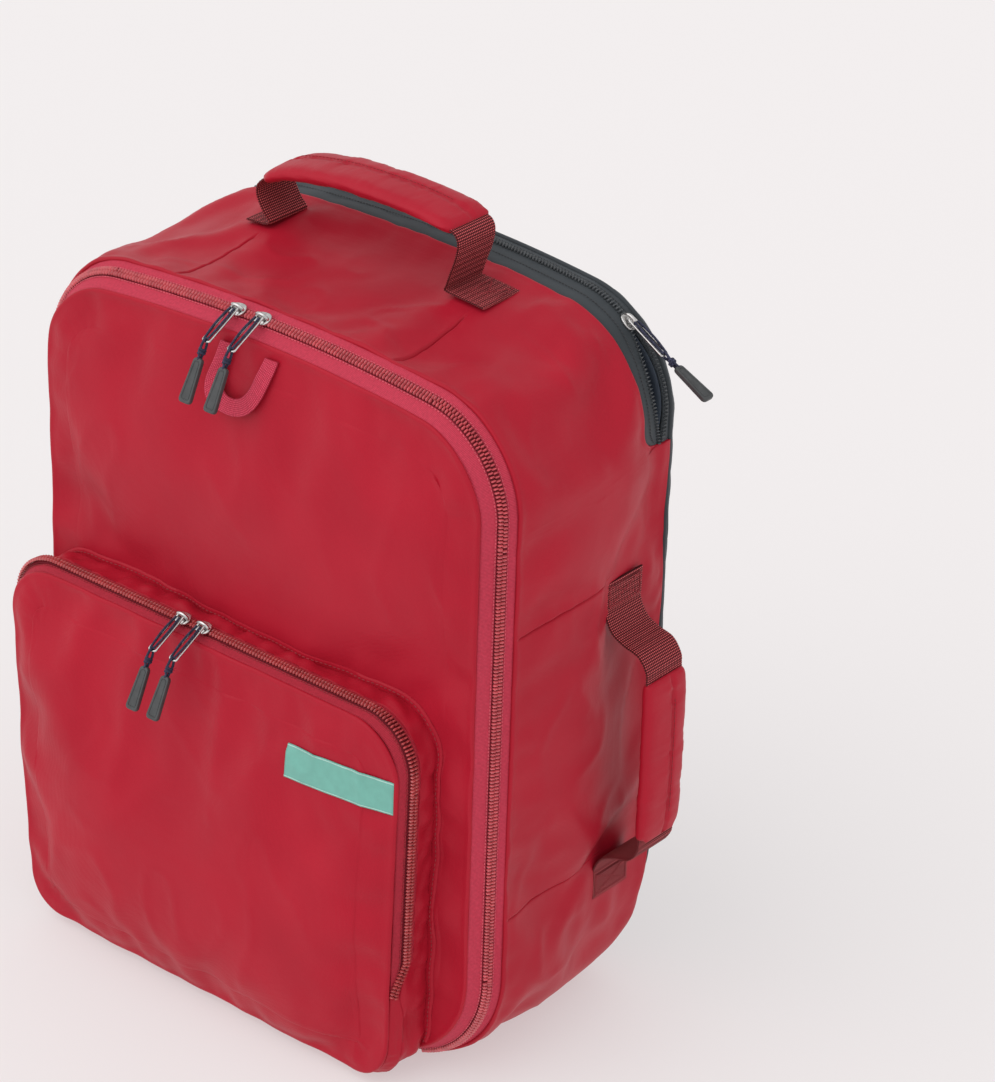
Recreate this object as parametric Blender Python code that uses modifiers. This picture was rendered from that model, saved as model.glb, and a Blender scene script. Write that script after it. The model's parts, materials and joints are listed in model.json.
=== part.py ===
"""Racket backpack: a tall bag whose padded front cover unzips and hinges down at the base, with a
zipped pocket on the cover, a racket compartment behind a divider, two carry handles and two straps.

Metres, +Z up. The front faces -Y and the wearer's back is at +Y. The origin is the middle of the
flat base. Fabric walls are lofted from one rounded-rectangle outline that changes with depth, so
the gusset, the zip tapes and the racket compartment all follow the same surface.
"""

from math import cos, pi, radians, sin, sqrt

import bmesh
import bpy
from mathutils import Matrix, Vector

# ---------------------------------------------------------------- driving dimensions
GAP = 0.0003  # left between pieces that touch

# Outline of the bag at the gusset's front seam and where the back starts to round over.
HEIGHT = 0.500
HALF_WIDTH = 0.203
ARCH = 0.016  # rise of the top edge's middle over its corners
TOP_RADIUS = 0.064
BOTTOM_RADIUS = 0.090
REAR_TOP = 0.513
REAR_HALF_WIDTH = 0.192
REAR_TOP_RADIUS = 0.066
BACK_TOP = 0.506
BACK_HALF_WIDTH = 0.187
BACK_BOTTOM = 0.140  # the bottom rear edge rounds up to this height

# Depths.
FRONT_Y = -0.102  # seam of the cover panel
SEAM_Y = -0.080  # seam of the gusset and the rear zip tape
DIVIDER_Y = 0.050
BAND_Y = 0.056  # front edge of the dark racket-zip band
ROUND_Y = 0.076  # the back starts to round over here
RACKET_ZIP_Y = 0.078
BACK_SEAM_Y = 0.090
BACK_Y = 0.100

# Fabric and foam.
GUSSET_THICK = 0.003
PANEL_THICK = 0.003
LINING_THICK = 0.002
TAPE_THICK = 0.0012
BEAD_HIGH = 0.0012  # zip teeth above the tape
BEAD_WIDE = 0.0042
WEB_WIDE = 0.038
WEB_THICK = 0.0018

# Main zip: a strip that slopes inwards from the gusset seam to the cover seam.
BEVEL_IN = 0.0115
COIL_AT = 0.42  # where the teeth meet, as a fraction of the sloping strip
MAIN_ZIP_END = 3.5  # outline station in the bottom corners where the zip ends

# Racket zip, partly open on the right corner.
BAND_END = 12.0  # outline station where the band stops on each side
MOUTH_END = 16.8  # outline station of the slider
MOUTH_FRONT = 0.008
MOUTH_REAR = 0.005

# Front pocket: left, right, bottom, top of its outline at three depths.
POCKET_BASE = (-0.1890, 0.1620, 0.0135, 0.2890, FRONT_Y - GAP)
POCKET_COIL = (-0.2046, 0.1607, 0.0040, 0.2878, -0.1247)
POCKET_FRONT = (-0.2005, 0.1566, 0.0075, 0.2837, -0.1341)
POCKET_RADIUS = 0.040
POCKET_LEAN_LEFT = 0.018  # the pocket narrows towards its bottom
POCKET_LEAN_RIGHT = 0.006
POCKET_BULGE = 0.016
POCKET_TAPE_AT = 0.70  # the rear tape starts here, from cover to teeth
POCKET_ZIP_END = 9.0
COVER_BULGE = 0.010

# Zip sliders and pulls.
SLIDER_LONG, SLIDER_WIDE, SLIDER_THICK = 0.011, 0.009, 0.0022
LUG_HOLE = 0.00125
LUG_RISE = 0.0024  # hole centre above the slider plate
WIRE_RADIUS = 0.0007
PULLER_HALF = 0.0032
PULLER_LONG = 0.033
CORD_RADIUS = 0.0009
CORD_LONG = 0.0120
TAB_LONG, TAB_WIDE, TAB_THICK = 0.031, 0.0095, 0.0034
PULLER_DIP = 28  # degrees below level, lying along the sloping tape
TAB_DIP = 62
MAIN_SLIDERS_X = (-0.028, -0.006)
POCKET_SLIDERS_X = (-0.045, -0.026)
RACKET_PULL_DIP = 30
RACKET_TAB_DIP = 27

# Handles.
TOP_HANDLE_Y = 0.022
SIDE_HANDLE_Y = 0.040
SLEEVE_WIDE, SLEEVE_THICK = 0.045, 0.013
ANCHOR_THICK = 0.002

# Shoulder straps and back.
STRAP_WIDE, STRAP_THICK = 0.062, 0.012
STRAP_WEB_WIDE, STRAP_WEB_THICK = 0.025, 0.0016
LOCK_WIDE, LOCK_HIGH, LOCK_THICK = 0.036, 0.026, 0.004

# ---------------------------------------------------------------- scene and materials
for old in list(bpy.data.objects):
    bpy.data.objects.remove(old, do_unlink=True)

parts = bpy.data.collections.new("racket_backpack")
cutters = bpy.data.collections.new("cutters")
for collection in (parts, cutters):
    bpy.context.scene.collection.children.link(collection)
cutters.hide_render = True


def finish(name, colour, roughness, metallic=0.0):
    material = bpy.data.materials.new(name)
    material.use_nodes = True
    shader = material.node_tree.nodes["Principled BSDF"]
    shader.inputs["Base Color"].default_value = (*colour, 1.0)
    shader.inputs["Roughness"].default_value = roughness
    shader.inputs["Metallic"].default_value = metallic
    return material


RED = ("red_nylon", (0.42, 0.026, 0.042), 0.55)
DARK = ("dark_nylon", (0.045, 0.055, 0.065), 0.6)
LINING = ("lining", (0.060, 0.075, 0.095), 0.6)
MESH = ("spacer_mesh", (0.030, 0.032, 0.036), 0.8)
TAPE = ("coral_tape", (0.54, 0.050, 0.085), 0.7)
WEBBING = ("maroon_webbing", (0.30, 0.025, 0.040), 0.75)
BLACK_WEB = ("black_webbing", (0.030, 0.032, 0.036), 0.75)
LABEL = ("label_film", (0.16, 0.48, 0.38), 0.45)
NICKEL = ("nickel", (0.60, 0.60, 0.62), 0.25, 1.0)
CORD = ("navy_cord", (0.035, 0.045, 0.095), 0.8)
RUBBER = ("grey_rubber", (0.050, 0.055, 0.060), 0.5)
PLASTIC = ("black_acetal", (0.020, 0.020, 0.022), 0.4)


# ---------------------------------------------------------------- the bag's outline
def mix(a, b, t):
    return a + (b - a) * t


def outline(half, top, bottom, r_top, r_bottom, arch=ARCH):
    """44 (x, z) points round a rounded rectangle, from the bottom's middle to the right and up.

    Stations 2-8 are the bottom right corner, 8-13 the side, 13-19 the top right corner and 22 the
    top's middle. The other half mirrors them.
    """
    right = [(0.0, bottom), ((half - r_bottom) * 0.5, bottom)]
    for k in range(7):
        turn = radians(-90 + 15 * k)
        right.append((half - r_bottom + r_bottom * cos(turn), bottom + r_bottom + r_bottom * sin(turn)))
    low, high = bottom + r_bottom, top - r_top
    right += [(half, mix(low, high, t)) for t in (0.20, 0.45, 0.70, 0.95)]
    for k in range(7):
        turn = radians(15 * k)
        right.append((half - r_top + r_top * cos(turn), high + r_top * sin(turn)))
    right += [((half - r_top) * t, top) for t in (0.667, 0.333)]
    loop = right + [(0.0, top)] + [(-x, z) for x, z in reversed(right[1:])]
    return [(x, z + arch * (1 - (x / half) ** 2) * max(0.0, 2 * z / HEIGHT - 1)) for x, z in loop]


STATIONS = 44


def on_loop(loop, s):
    """The point at a station that need not be a whole number."""
    low = int(s // 1)
    (xa, za), (xb, zb) = loop[low % STATIONS], loop[(low + 1) % STATIONS]
    return mix(xa, xb, s - low), mix(za, zb, s - low)


def section(y):
    """Half-width, top, bottom, top radius and bottom radius of the bag's outside at depth y."""
    if y <= ROUND_Y:
        t = (y - SEAM_Y) / (ROUND_Y - SEAM_Y)
        half = mix(HALF_WIDTH, REAR_HALF_WIDTH, t * t)
        return half, mix(HEIGHT, REAR_TOP, t), 0.0, mix(TOP_RADIUS, REAR_TOP_RADIUS, t), BOTTOM_RADIUS
    c = sqrt(max(0.0, 1 - ((y - ROUND_Y) / (BACK_Y - ROUND_Y)) ** 2))
    half = mix(BACK_HALF_WIDTH, REAR_HALF_WIDTH, c)
    return half, mix(BACK_TOP, REAR_TOP, c), BACK_BOTTOM * (1 - c), REAR_TOP_RADIUS, BOTTOM_RADIUS


def bag_loop(y, inset=0.0):
    half, top, bottom, r_top, r_bottom = section(y)
    return outline(half - inset, top - inset, bottom + inset, r_top - inset, r_bottom - inset)


def bag_point(s, y, inset=0.0):
    x, z = on_loop(bag_loop(y, inset), s)
    return Vector((x, y, z))


def top_point(x, y, rise):
    """A point above the bag's top, which is nearly level there."""
    half, top, *_ = section(y)
    return Vector((x, y, top + ARCH * (1 - (x / half) ** 2) * (2 * top / HEIGHT - 1) + rise))


FRONT_LOOP = outline(
    HALF_WIDTH - BEVEL_IN, HEIGHT - BEVEL_IN, BEVEL_IN, TOP_RADIUS - BEVEL_IN, BOTTOM_RADIUS - BEVEL_IN
)


def zip_point(s, t):
    """A point of the sloping main zip strip, from the gusset seam (0) to the cover seam (1)."""
    x, z = on_loop(FRONT_LOOP, s)
    return bag_point(s, SEAM_Y).lerp(Vector((x, FRONT_Y, z)), t)


def pocket_loop(left, right, bottom, top, _depth, inset=0.0):
    half, middle = (right - left) / 2 - inset, (right + left) / 2
    radius = POCKET_RADIUS - inset
    points = []
    for x, z in outline(half, top - inset, bottom + inset, radius, radius, arch=0.0):
        side = (x + half) / (2 * half)
        low = 1 - z / top
        lean = POCKET_LEAN_LEFT * low * (1 - side) - POCKET_LEAN_RIGHT * low * side
        points.append((x + middle + lean, z))
    return points


POCKET_DEPTHS = (POCKET_BASE, POCKET_COIL, POCKET_FRONT)


def pocket_point(s, depth, inset=0.0):
    """A point of the pocket's side, at depth 0 on the cover, 1 at the teeth and 2 at its front seam."""
    k = min(1, int(depth))
    xa, za = on_loop(pocket_loop(*POCKET_DEPTHS[k], inset), s)
    xb, zb = on_loop(pocket_loop(*POCKET_DEPTHS[k + 1], inset), s)
    y = mix(POCKET_DEPTHS[k][4], POCKET_DEPTHS[k + 1][4], depth - k)
    return Vector((mix(xa, xb, depth - k), y, mix(za, zb, depth - k)))


def cover_y(x, z):
    """Front of the cover panel, which swells above the pocket."""
    across = max(0.0, 1 - (x / (HALF_WIDTH - BEVEL_IN)) ** 2)
    up = min(1.0, max(0.0, (z - 0.310) / 0.190))
    return FRONT_Y - COVER_BULGE * across * sin(pi * up) ** 1.5


def pocket_y(x, z):
    """Front of the pocket panel."""
    left, right, bottom, top, y = POCKET_FRONT
    across = max(0.0, 1 - abs(2 * (x - left) / (right - left) - 1) ** 3)
    up = max(0.0, 1 - abs(2 * (z - bottom) / (top - bottom) - 1) ** 3)
    return y - POCKET_BULGE * across * up


def stations(start, end):
    """Start, every whole station between, and end."""
    middle = [k for k in range(int(start // 1) + 1, int(-(-end // 1))) if start < k < end]
    return [start, *middle, end]


ALL_ROUND = [float(k) for k in range(STATIONS)]
STEP = 0.03  # in stations, the width of a step in an edge


def all_round_with_steps(end):
    """Every station, with a close pair at each end of the base fold, where an edge steps."""
    return sorted({*ALL_ROUND, end - STEP, end, STATIONS - end, STATIONS - end + STEP})


def on_fold(s, end):
    """True on the stretch of the outline round the base, where a cover folds and has no zip."""
    return abs((s + STATIONS / 2) % STATIONS - STATIONS / 2) < end - STEP / 2


# ---------------------------------------------------------------- building blocks
def add(name, data, look):
    obj = bpy.data.objects.new(name, data)
    parts.objects.link(obj)
    material = bpy.data.materials.get(look[0]) or finish(*look)
    material = material.copy() if material.users else material
    material.name = f"{name}_{look[0]}"
    if data.users > 1:
        obj.material_slots[0].link = "OBJECT"
        obj.material_slots[0].material = material
    else:
        data.materials.append(material)
    return obj


def to_mesh(name, bm, smooth=True):
    mesh = bpy.data.meshes.new(name)
    bm.to_mesh(mesh)
    bm.free()
    if smooth:
        mesh.shade_smooth()
        mesh.set_sharp_from_angle(angle=radians(50))
    return mesh


def skin(name, rows, look, thick, closed=False, centre=None, outwards=True):
    """A sheet of fabric through rows of points, thickened to its inner side."""
    bm = bmesh.new()
    grid = [[bm.verts.new(p) for p in row] for row in rows]
    columns = len(rows[0])
    for upper, lower in zip(grid, grid[1:]):
        for j in range(columns if closed else columns - 1):
            k = (j + 1) % columns
            bm.faces.new((upper[j], lower[j], lower[k], upper[k]))
    if centre is not None:
        middle = bm.verts.new(centre)
        last = grid[-1]
        for j in range(columns):
            bm.faces.new((last[j], middle, last[(j + 1) % columns]))
    if not outwards:
        bmesh.ops.reverse_faces(bm, faces=bm.faces[:])
    obj = add(name, to_mesh(name, bm), look)
    solidify = obj.modifiers.new("thickness", "SOLIDIFY")
    solidify.thickness = thick
    solidify.offset = -1
    solidify.use_even_offset = True
    return obj


def shell(name, outer, inner, look, closed=True, centres=None):
    """A wall between an outer and an inner grid of points, with its rims closed."""
    bm = bmesh.new()
    sides = [[[bm.verts.new(p) for p in row] for row in rows] for rows in (outer, inner)]
    columns = len(outer[0])
    steps = [(j, (j + 1) % columns) for j in range(columns if closed else columns - 1)]
    for grid in sides:
        for upper, lower in zip(grid, grid[1:]):
            for j, k in steps:
                bm.faces.new((upper[j], lower[j], lower[k], upper[k]))
    for row in (0,) if centres else (0, -1):
        for j, k in steps:
            bm.faces.new((sides[0][row][j], sides[0][row][k], sides[1][row][k], sides[1][row][j]))
    if centres:
        for grid, centre in zip(sides, centres):
            middle = bm.verts.new(centre)
            for j, k in steps:
                bm.faces.new((grid[-1][j], middle, grid[-1][k]))
    if not closed:
        for j in (0, -1):
            for row in range(len(outer) - 1):
                a, b = sides[0][row][j], sides[0][row + 1][j]
                c, d = sides[1][row + 1][j], sides[1][row][j]
                bm.faces.new((a, b, c, d))
    bmesh.ops.recalc_face_normals(bm, faces=bm.faces[:])
    return add(name, to_mesh(name, bm), look)


def loft(name, loops, look, ring=False, smooth=True):
    """A closed body through loops of points that match one to one."""
    bm = bmesh.new()
    grid = [[bm.verts.new(p) for p in loop] for loop in loops]
    count = len(loops[0])
    pairs = list(zip(grid, grid[1:])) + ([(grid[-1], grid[0])] if ring else [])
    for a, b in pairs:
        for j in range(count):
            k = (j + 1) % count
            bm.faces.new((a[j], b[j], b[k], a[k]))
    if not ring:
        bm.faces.new(grid[0])
        bm.faces.new(list(reversed(grid[-1])))
    bmesh.ops.recalc_face_normals(bm, faces=bm.faces[:])
    return add(name, to_mesh(name, bm, smooth), look)


def frames(path, across):
    """Position, width direction and normal at each point of a path."""
    for k, point in enumerate(path):
        ahead = path[min(k + 1, len(path) - 1)] - path[max(k - 1, 0)]
        wide = across(k) if callable(across) else across
        wide = (wide - ahead.normalized() * wide.dot(ahead.normalized())).normalized()
        yield point, wide, ahead.normalized().cross(wide)


def ribbon(name, path, across, width, thick, look):
    """Flat webbing along a path, as wide as width along the across direction."""
    loops = []
    for point, wide, up in frames(path, across):
        corners = ((-1, -1), (1, -1), (1, 1), (-1, 1))
        loops.append([point + wide * (width / 2 * a) + up * (thick / 2 * b) for a, b in corners])
    return loft(name, loops, look, smooth=False)


def oval(width, thick, count=12):
    """A flattened rounded section, wide first."""
    points = []
    for k in range(count):
        turn = 2 * pi * (k + 0.5) / count
        c, s = cos(turn), sin(turn)
        across = width / 2 * abs(c) ** 0.45 * (1 if c > 0 else -1)
        points.append((across, thick / 2 * abs(s) ** 0.75 * (1 if s > 0 else -1)))
    return points


def sleeve(name, path, across, width, thick, slot, look):
    """A padded sleeve with a flat slot through it for its webbing."""
    loops = []
    for point, wide, up in frames(path, across):
        loops.append([point + wide * a + up * b for a, b in oval(width, thick)])
    inner = []
    for point, wide, up in frames(path, across):
        inner.append([point + wide * a + up * b for a, b in oval(*slot)])
    return loft(name, loops + inner[::-1], look, ring=True)


def wire(name, points, radius, look, cyclic=False):
    curve = bpy.data.curves.new(name, "CURVE")
    curve.dimensions = "3D"
    curve.bevel_depth = radius
    curve.bevel_resolution = 2
    curve.use_fill_caps = True
    spline = curve.splines.new("POLY")
    spline.points.add(len(points) - 1)
    for target, point in zip(spline.points, points):
        target.co = (*point, 1.0)
    spline.use_cyclic_u = cyclic
    return add(name, curve, look) if look else curve


def padded_box(name, size, place, look, bevel):
    bm = bmesh.new()
    bmesh.ops.create_cube(bm, size=1.0)
    bmesh.ops.scale(bm, vec=size, verts=bm.verts[:])
    obj = add(name, to_mesh(name, bm), look)
    obj.location = place
    edge = obj.modifiers.new("rounding", "BEVEL")
    edge.width = bevel
    edge.segments = 2
    return obj


def pivot(name, place, children, parent=None):
    """An empty on a joint's axis, carrying the pieces that move with it."""
    empty = bpy.data.objects.new(name, None)
    empty.empty_display_size = 0.02
    parts.objects.link(empty)
    empty.location = place
    empty["rest"] = tuple(place)
    if parent:
        empty.parent = parent
        empty.matrix_parent_inverse = Matrix.Translation(-Vector(parent["rest"]))
    for child in children:
        child.parent = empty
        child.matrix_parent_inverse = Matrix.Translation(-Vector(place))
    return empty


# ---------------------------------------------------------------- bag body
def bag_inner(s, y, thick):
    """A point inside the bag's surface: level with it, or along its normal where the back rounds."""
    if y <= ROUND_Y:
        return bag_point(s, y, thick)
    rearwards = bag_point(s, y) - bag_point(s, y - 0.00005)
    normal = rearwards.cross(bag_point(s + 0.05, y) - bag_point(s - 0.05, y)).normalized()
    return bag_point(s, y) - normal * thick


def inwards(s):
    """The step from the front seam's outline to the inside of the gusset."""
    return bag_point(s, SEAM_Y, GUSSET_THICK) - bag_point(s, SEAM_Y)


def wall(name, rows, look, thick, closed=False):
    """A wall of the bag through rows of (station, depth)."""
    outer = [[bag_point(s, y) for s, y in row] for row in rows]
    inner = [[bag_inner(s, y, thick) for s, y in row] for row in rows]
    return shell(name, outer, inner, look, closed=closed)


# The gusset's front edge is its zip seam, and at the base the fold that the cover hinges on.
main_round = all_round_with_steps(MAIN_ZIP_END)
gusset_depths = (SEAM_Y + GAP / 2, -0.060, -0.020, 0.020, BAND_Y - GAP / 2)
gusset_outer = [[bag_point(s, y) for s in main_round] for y in gusset_depths]
gusset_inner = [[bag_point(s, y, GUSSET_THICK) for s in main_round] for y in gusset_depths]
for k, s in enumerate(main_round):
    if on_fold(s, MAIN_ZIP_END):
        gusset_outer[0][k] = zip_point(s, COIL_AT - 0.006)
        gusset_inner[0][k] = zip_point(s, COIL_AT - 0.006) + inwards(s)
main_gusset = shell("main_gusset", gusset_outer, gusset_inner, RED)

divider_loop = [bag_point(s, DIVIDER_Y, GUSSET_THICK + 2 * GAP) for s in ALL_ROUND]
divider_core = Vector((0, DIVIDER_Y, 0.27))
divider_rows = [divider_loop, [divider_core.lerp(p, 0.5) for p in divider_loop]]
divider_panel = skin("divider_panel", divider_rows, LINING, 0.004, closed=True, centre=divider_core)

END_STEP = 0.004  # in stations, half the gap beside the band's ends
low_stations = stations(-BAND_END + END_STEP, BAND_END - END_STEP)
low_depths = (BAND_Y + GAP / 2, 0.066, ROUND_Y, 0.083, BACK_SEAM_Y - GAP / 2)
rear_gusset = wall("rear_gusset", [[(s, y) for s in low_stations] for y in low_depths], RED, GUSSET_THICK)

band_stations = stations(BAND_END + END_STEP, STATIONS - BAND_END - END_STEP)


def mouth(s):
    """0 where the racket zip is closed, rising to 1 in the middle of its open stretch."""
    t = (s - BAND_END) / (MOUTH_END - BAND_END)
    return sin(pi * t) if 0 < t < 1 else 0.0


front_band_rows, rear_band_rows = [], []
for t in (0.0, 0.5, 1.0):
    front_edge = [RACKET_ZIP_Y - GAP / 2 - MOUTH_FRONT * mouth(s) for s in band_stations]
    rear_edge = [RACKET_ZIP_Y + GAP / 2 + MOUTH_REAR * mouth(s) for s in band_stations]
    front_band_rows.append([(s, mix(BAND_Y + GAP / 2, y, t)) for s, y in zip(band_stations, front_edge)])
    rear_band_rows.append([(s, mix(y, BACK_SEAM_Y - GAP / 2, t)) for s, y in zip(band_stations, rear_edge)])
racket_band_front = wall("racket_band_front", front_band_rows, DARK, LINING_THICK)
racket_band_rear = wall("racket_band_rear", rear_band_rows, DARK, LINING_THICK)

back_outer, back_inner = [], []
for turn in (36.5, 50, 63, 75, 84, 90):
    depth = ROUND_Y + (BACK_Y - ROUND_Y) * sin(radians(turn))
    back_outer.append([bag_point(s, depth) for s in ALL_ROUND])
    back_inner.append([bag_inner(s, depth, PANEL_THICK) for s in ALL_ROUND])
back_middle = Vector((0, BACK_Y, 0.33))
inner_middle = back_middle - Vector((0, PANEL_THICK, 0))
for part in (0.8, 0.4):
    back_outer.append([back_middle.lerp(p, part) for p in back_outer[5]])
    back_inner.append([inner_middle.lerp(p, part) for p in back_inner[5]])
back_panel = shell("back_panel", back_outer, back_inner, DARK, centres=(back_middle, inner_middle))

# ---------------------------------------------------------------- zip tapes of the main opening
BEVEL_LONG = (zip_point(10, 1) - zip_point(10, 0)).length


def zip_normal(s):
    along = zip_point(s + 0.3, 0.5) - zip_point(s - 0.3, 0.5)
    return along.cross(zip_point(s, 1) - zip_point(s, 0)).normalized()


def pocket_normal(s):
    return (pocket_point(s, 1) - pocket_point(s, 1, 0.001)).normalized()


def tape(name, point, normal, spans, teeth, seam, width):
    """A zip tape from its teeth to its seam, with the teeth as a bead along the one edge.

    teeth and seam are values of point's second argument, and width is the distance between them.
    """
    shoulder = mix(teeth, seam, BEAD_WIDE / width)
    profile = (
        (seam, 0), (shoulder, 0), (shoulder, BEAD_HIGH),
        (teeth, BEAD_HIGH), (teeth, -TAPE_THICK), (seam, -TAPE_THICK),
    )
    loops = [[point(s, t) + normal(s) * rise for t, rise in profile] for s in spans]
    return loft(name, loops, TAPE, smooth=False)


zip_spans = stations(MAIN_ZIP_END + STEP, STATIONS - MAIN_ZIP_END - STEP)
half_gap = GAP / 2 / BEVEL_LONG
REAR_TAPE_AT, FRONT_TAPE_AT = 0.030, 0.975
main_zip_tape_rear = tape(
    "main_zip_tape_rear", zip_point, zip_normal, zip_spans,
    COIL_AT - half_gap, REAR_TAPE_AT, (COIL_AT - REAR_TAPE_AT) * BEVEL_LONG,
)
main_zip_tape_front = tape(
    "main_zip_tape_front", zip_point, zip_normal, zip_spans,
    COIL_AT + half_gap, FRONT_TAPE_AT, (FRONT_TAPE_AT - COIL_AT) * BEVEL_LONG,
)

# ---------------------------------------------------------------- cover
COVER_CORE = Vector((0, FRONT_Y, 0.26))


def drawn_in(points, core, part, depth, behind=0.0):
    """Points drawn in towards a core, and laid on a panel's surface or behind it."""
    row = []
    for point in points:
        x, z = mix(core.x, point.x, part), mix(core.z, point.z, part)
        row.append(Vector((x, depth(x, z) + behind, z)))
    return row


def panel_shell(name, seam, inner_edge, edge, core, depth, thick, fronts, backs):
    """A panel swelling forwards from its seam, whose outer edge may fold back at the base."""
    outer = [edge] + [drawn_in(seam, core, part, depth) for part in fronts]
    inner = [inner_edge] + [drawn_in(seam, core, part, depth, thick) for part in backs]
    front = Vector((core.x, depth(core.x, core.z), core.z))
    return shell(name, outer, inner, RED, centres=(front, front + Vector((0, thick, 0))))


# The panel's edge is its zip seam, and at the base the fold that it hinges on.
cover_seam = [zip_point(s, 1.0) for s in main_round]
cover_edge, cover_inner_edge = [], []
for s, seam in zip(main_round, cover_seam):
    if on_fold(s, MAIN_ZIP_END):
        fold = zip_point(s, COIL_AT + 0.006)
        cover_edge.append(fold)
        cover_inner_edge.append(fold + inwards(s) - Vector((0, GAP / 2, 0)))
    else:
        cover_edge.append(seam)
        cover_inner_edge.append(seam + inwards(s) * 1.35 + Vector((0, PANEL_THICK, 0)))
cover_panel = panel_shell(
    "cover_panel", cover_seam, cover_inner_edge, cover_edge, COVER_CORE, cover_y, PANEL_THICK,
    (0.98, 0.85, 0.65, 0.40, 0.15), (0.955, 0.84, 0.65, 0.40, 0.15),
)

LOOP_THICK = 0.0014
loop_outer = ((0.0215, 0.4965), (0.0085, 0.4520), (-0.0420, 0.4520), (-0.0290, 0.4965))
loop_inner = ((0.0105, 0.4965), (-0.0010, 0.4630), (-0.0275, 0.4630), (-0.0180, 0.4965))


def hang_point(x, z, out):
    return Vector((x, cover_y(x, z) - 3 * GAP - out, z))


hang_sections = []
for (xo, zo), (xi, zi) in zip(loop_outer, loop_inner):
    corners = ((xo, zo, 0), (xi, zi, 0), (xi, zi, LOOP_THICK), (xo, zo, LOOP_THICK))
    hang_sections.append([hang_point(*corner) for corner in corners])
hang_loop = loft("hang_loop", hang_sections, TAPE, smooth=False)

# ---------------------------------------------------------------- front pocket
# The tapes stop at POCKET_ZIP_END, and below it the gusset and the panel meet at a fold.
pocket_round = all_round_with_steps(POCKET_ZIP_END)
gusset_reach = []
for s in pocket_round:
    gusset_reach.append(0.985 if on_fold(s, POCKET_ZIP_END) else POCKET_TAPE_AT - 0.012)
pocket_sides = []
for inset in (0.0, LINING_THICK):
    rows = []
    for t in (1.0, 0.5, 0.0):
        rows.append([pocket_point(s, reach * t, inset) for s, reach in zip(pocket_round, gusset_reach)])
    pocket_sides.append(rows)
pocket_gusset = shell("pocket_gusset", *pocket_sides, RED)

pocket_spans = stations(POCKET_ZIP_END + STEP, STATIONS - POCKET_ZIP_END - STEP)
GUSSET_LONG = (pocket_point(10, 1) - pocket_point(10, 0)).length
RIM_LONG = (pocket_point(10, 2) - pocket_point(10, 1)).length
POCKET_SEAM_AT = 1.90
pocket_zip_tape_rear = tape(
    "pocket_zip_tape_rear", pocket_point, pocket_normal, pocket_spans,
    1 - GAP / 2 / GUSSET_LONG, POCKET_TAPE_AT, (1 - POCKET_TAPE_AT) * GUSSET_LONG,
)
pocket_zip_tape_front = tape(
    "pocket_zip_tape_front", pocket_point, pocket_normal, pocket_spans,
    1 + GAP / 2 / RIM_LONG, POCKET_SEAM_AT, (POCKET_SEAM_AT - 1) * RIM_LONG,
)

POCKET_CORE = Vector((-0.022, 0, 0.145))
pocket_seam = [pocket_point(s, 2.0) for s in pocket_round]
pocket_edge, pocket_inner_edge = [], []
for s, seam in zip(pocket_round, pocket_seam):
    if on_fold(s, POCKET_ZIP_END):
        pocket_edge.append(pocket_point(s, 1.03))
        pocket_inner_edge.append(pocket_point(s, 1.03, LINING_THICK))
    else:
        pocket_edge.append(seam)
        pocket_inner_edge.append(pocket_point(s, 2.0, 0.003) + Vector((0, LINING_THICK, 0)))
pocket_panel = panel_shell(
    "pocket_panel", pocket_seam, pocket_inner_edge, pocket_edge, POCKET_CORE, pocket_y, LINING_THICK,
    (0.975, 0.85, 0.65, 0.40, 0.15), (0.945, 0.84, 0.65, 0.40, 0.15),
)

label_rows = []
for z in (0.2235, 0.2475):
    label_rows.append(
        [Vector((x, pocket_y(x, z) - 0.0016, z)) for x in (0.064, 0.084, 0.104, 0.124, 0.142, 0.152)]
    )
label_patch = skin("label_patch", label_rows, LABEL, 0.0006, outwards=False)


# ---------------------------------------------------------------- sliders and pulls
def slider_mesh():
    """A slider plate with an upright lug whose hole takes the puller. Its origin is the hole."""
    plate = padded_box("slider_plate", (SLIDER_LONG, SLIDER_WIDE, SLIDER_THICK), (0, 0, 0), NICKEL, 0.0006)
    plate.modifiers["rounding"].segments = 1
    plate.location.z = -LUG_RISE - SLIDER_THICK / 2
    bm = bmesh.new()
    count = 8
    loops = []
    for side, radius in ((-1, 0.0023), (1, 0.0023), (1, LUG_HOLE), (-1, LUG_HOLE)):
        loop = []
        for k in range(count):
            turn = 2 * pi * (k + 0.5) / count
            y, z = radius * cos(turn), radius * sin(turn)
            if radius > LUG_HOLE and z < 0:
                z = min(z, -LUG_RISE - 0.0004)
            loop.append(bm.verts.new((side * 0.001, y, z)))
        loops.append(loop)
    for a, b in zip(loops, loops[1:] + loops[:1]):
        for j in range(count):
            k = (j + 1) % count
            bm.faces.new((a[j], b[j], b[k], a[k]))
    bmesh.ops.recalc_face_normals(bm, faces=bm.faces[:])
    lug = bpy.data.objects.new("slider_lug", to_mesh("slider_lug", bm, smooth=False))
    cutters.objects.link(lug)
    lug.display_type = "WIRE"
    join = plate.modifiers.new("lug", "BOOLEAN")
    join.operation = "UNION"
    join.object = lug
    bpy.context.view_layer.update()
    graph = bpy.context.evaluated_depsgraph_get()
    mesh = bpy.data.meshes.new_from_object(plate.evaluated_get(graph))
    mesh.transform(plate.matrix_world)
    mesh.materials.clear()
    for used in (plate, lug):
        bpy.data.objects.remove(used, do_unlink=True)
    return mesh


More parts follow.
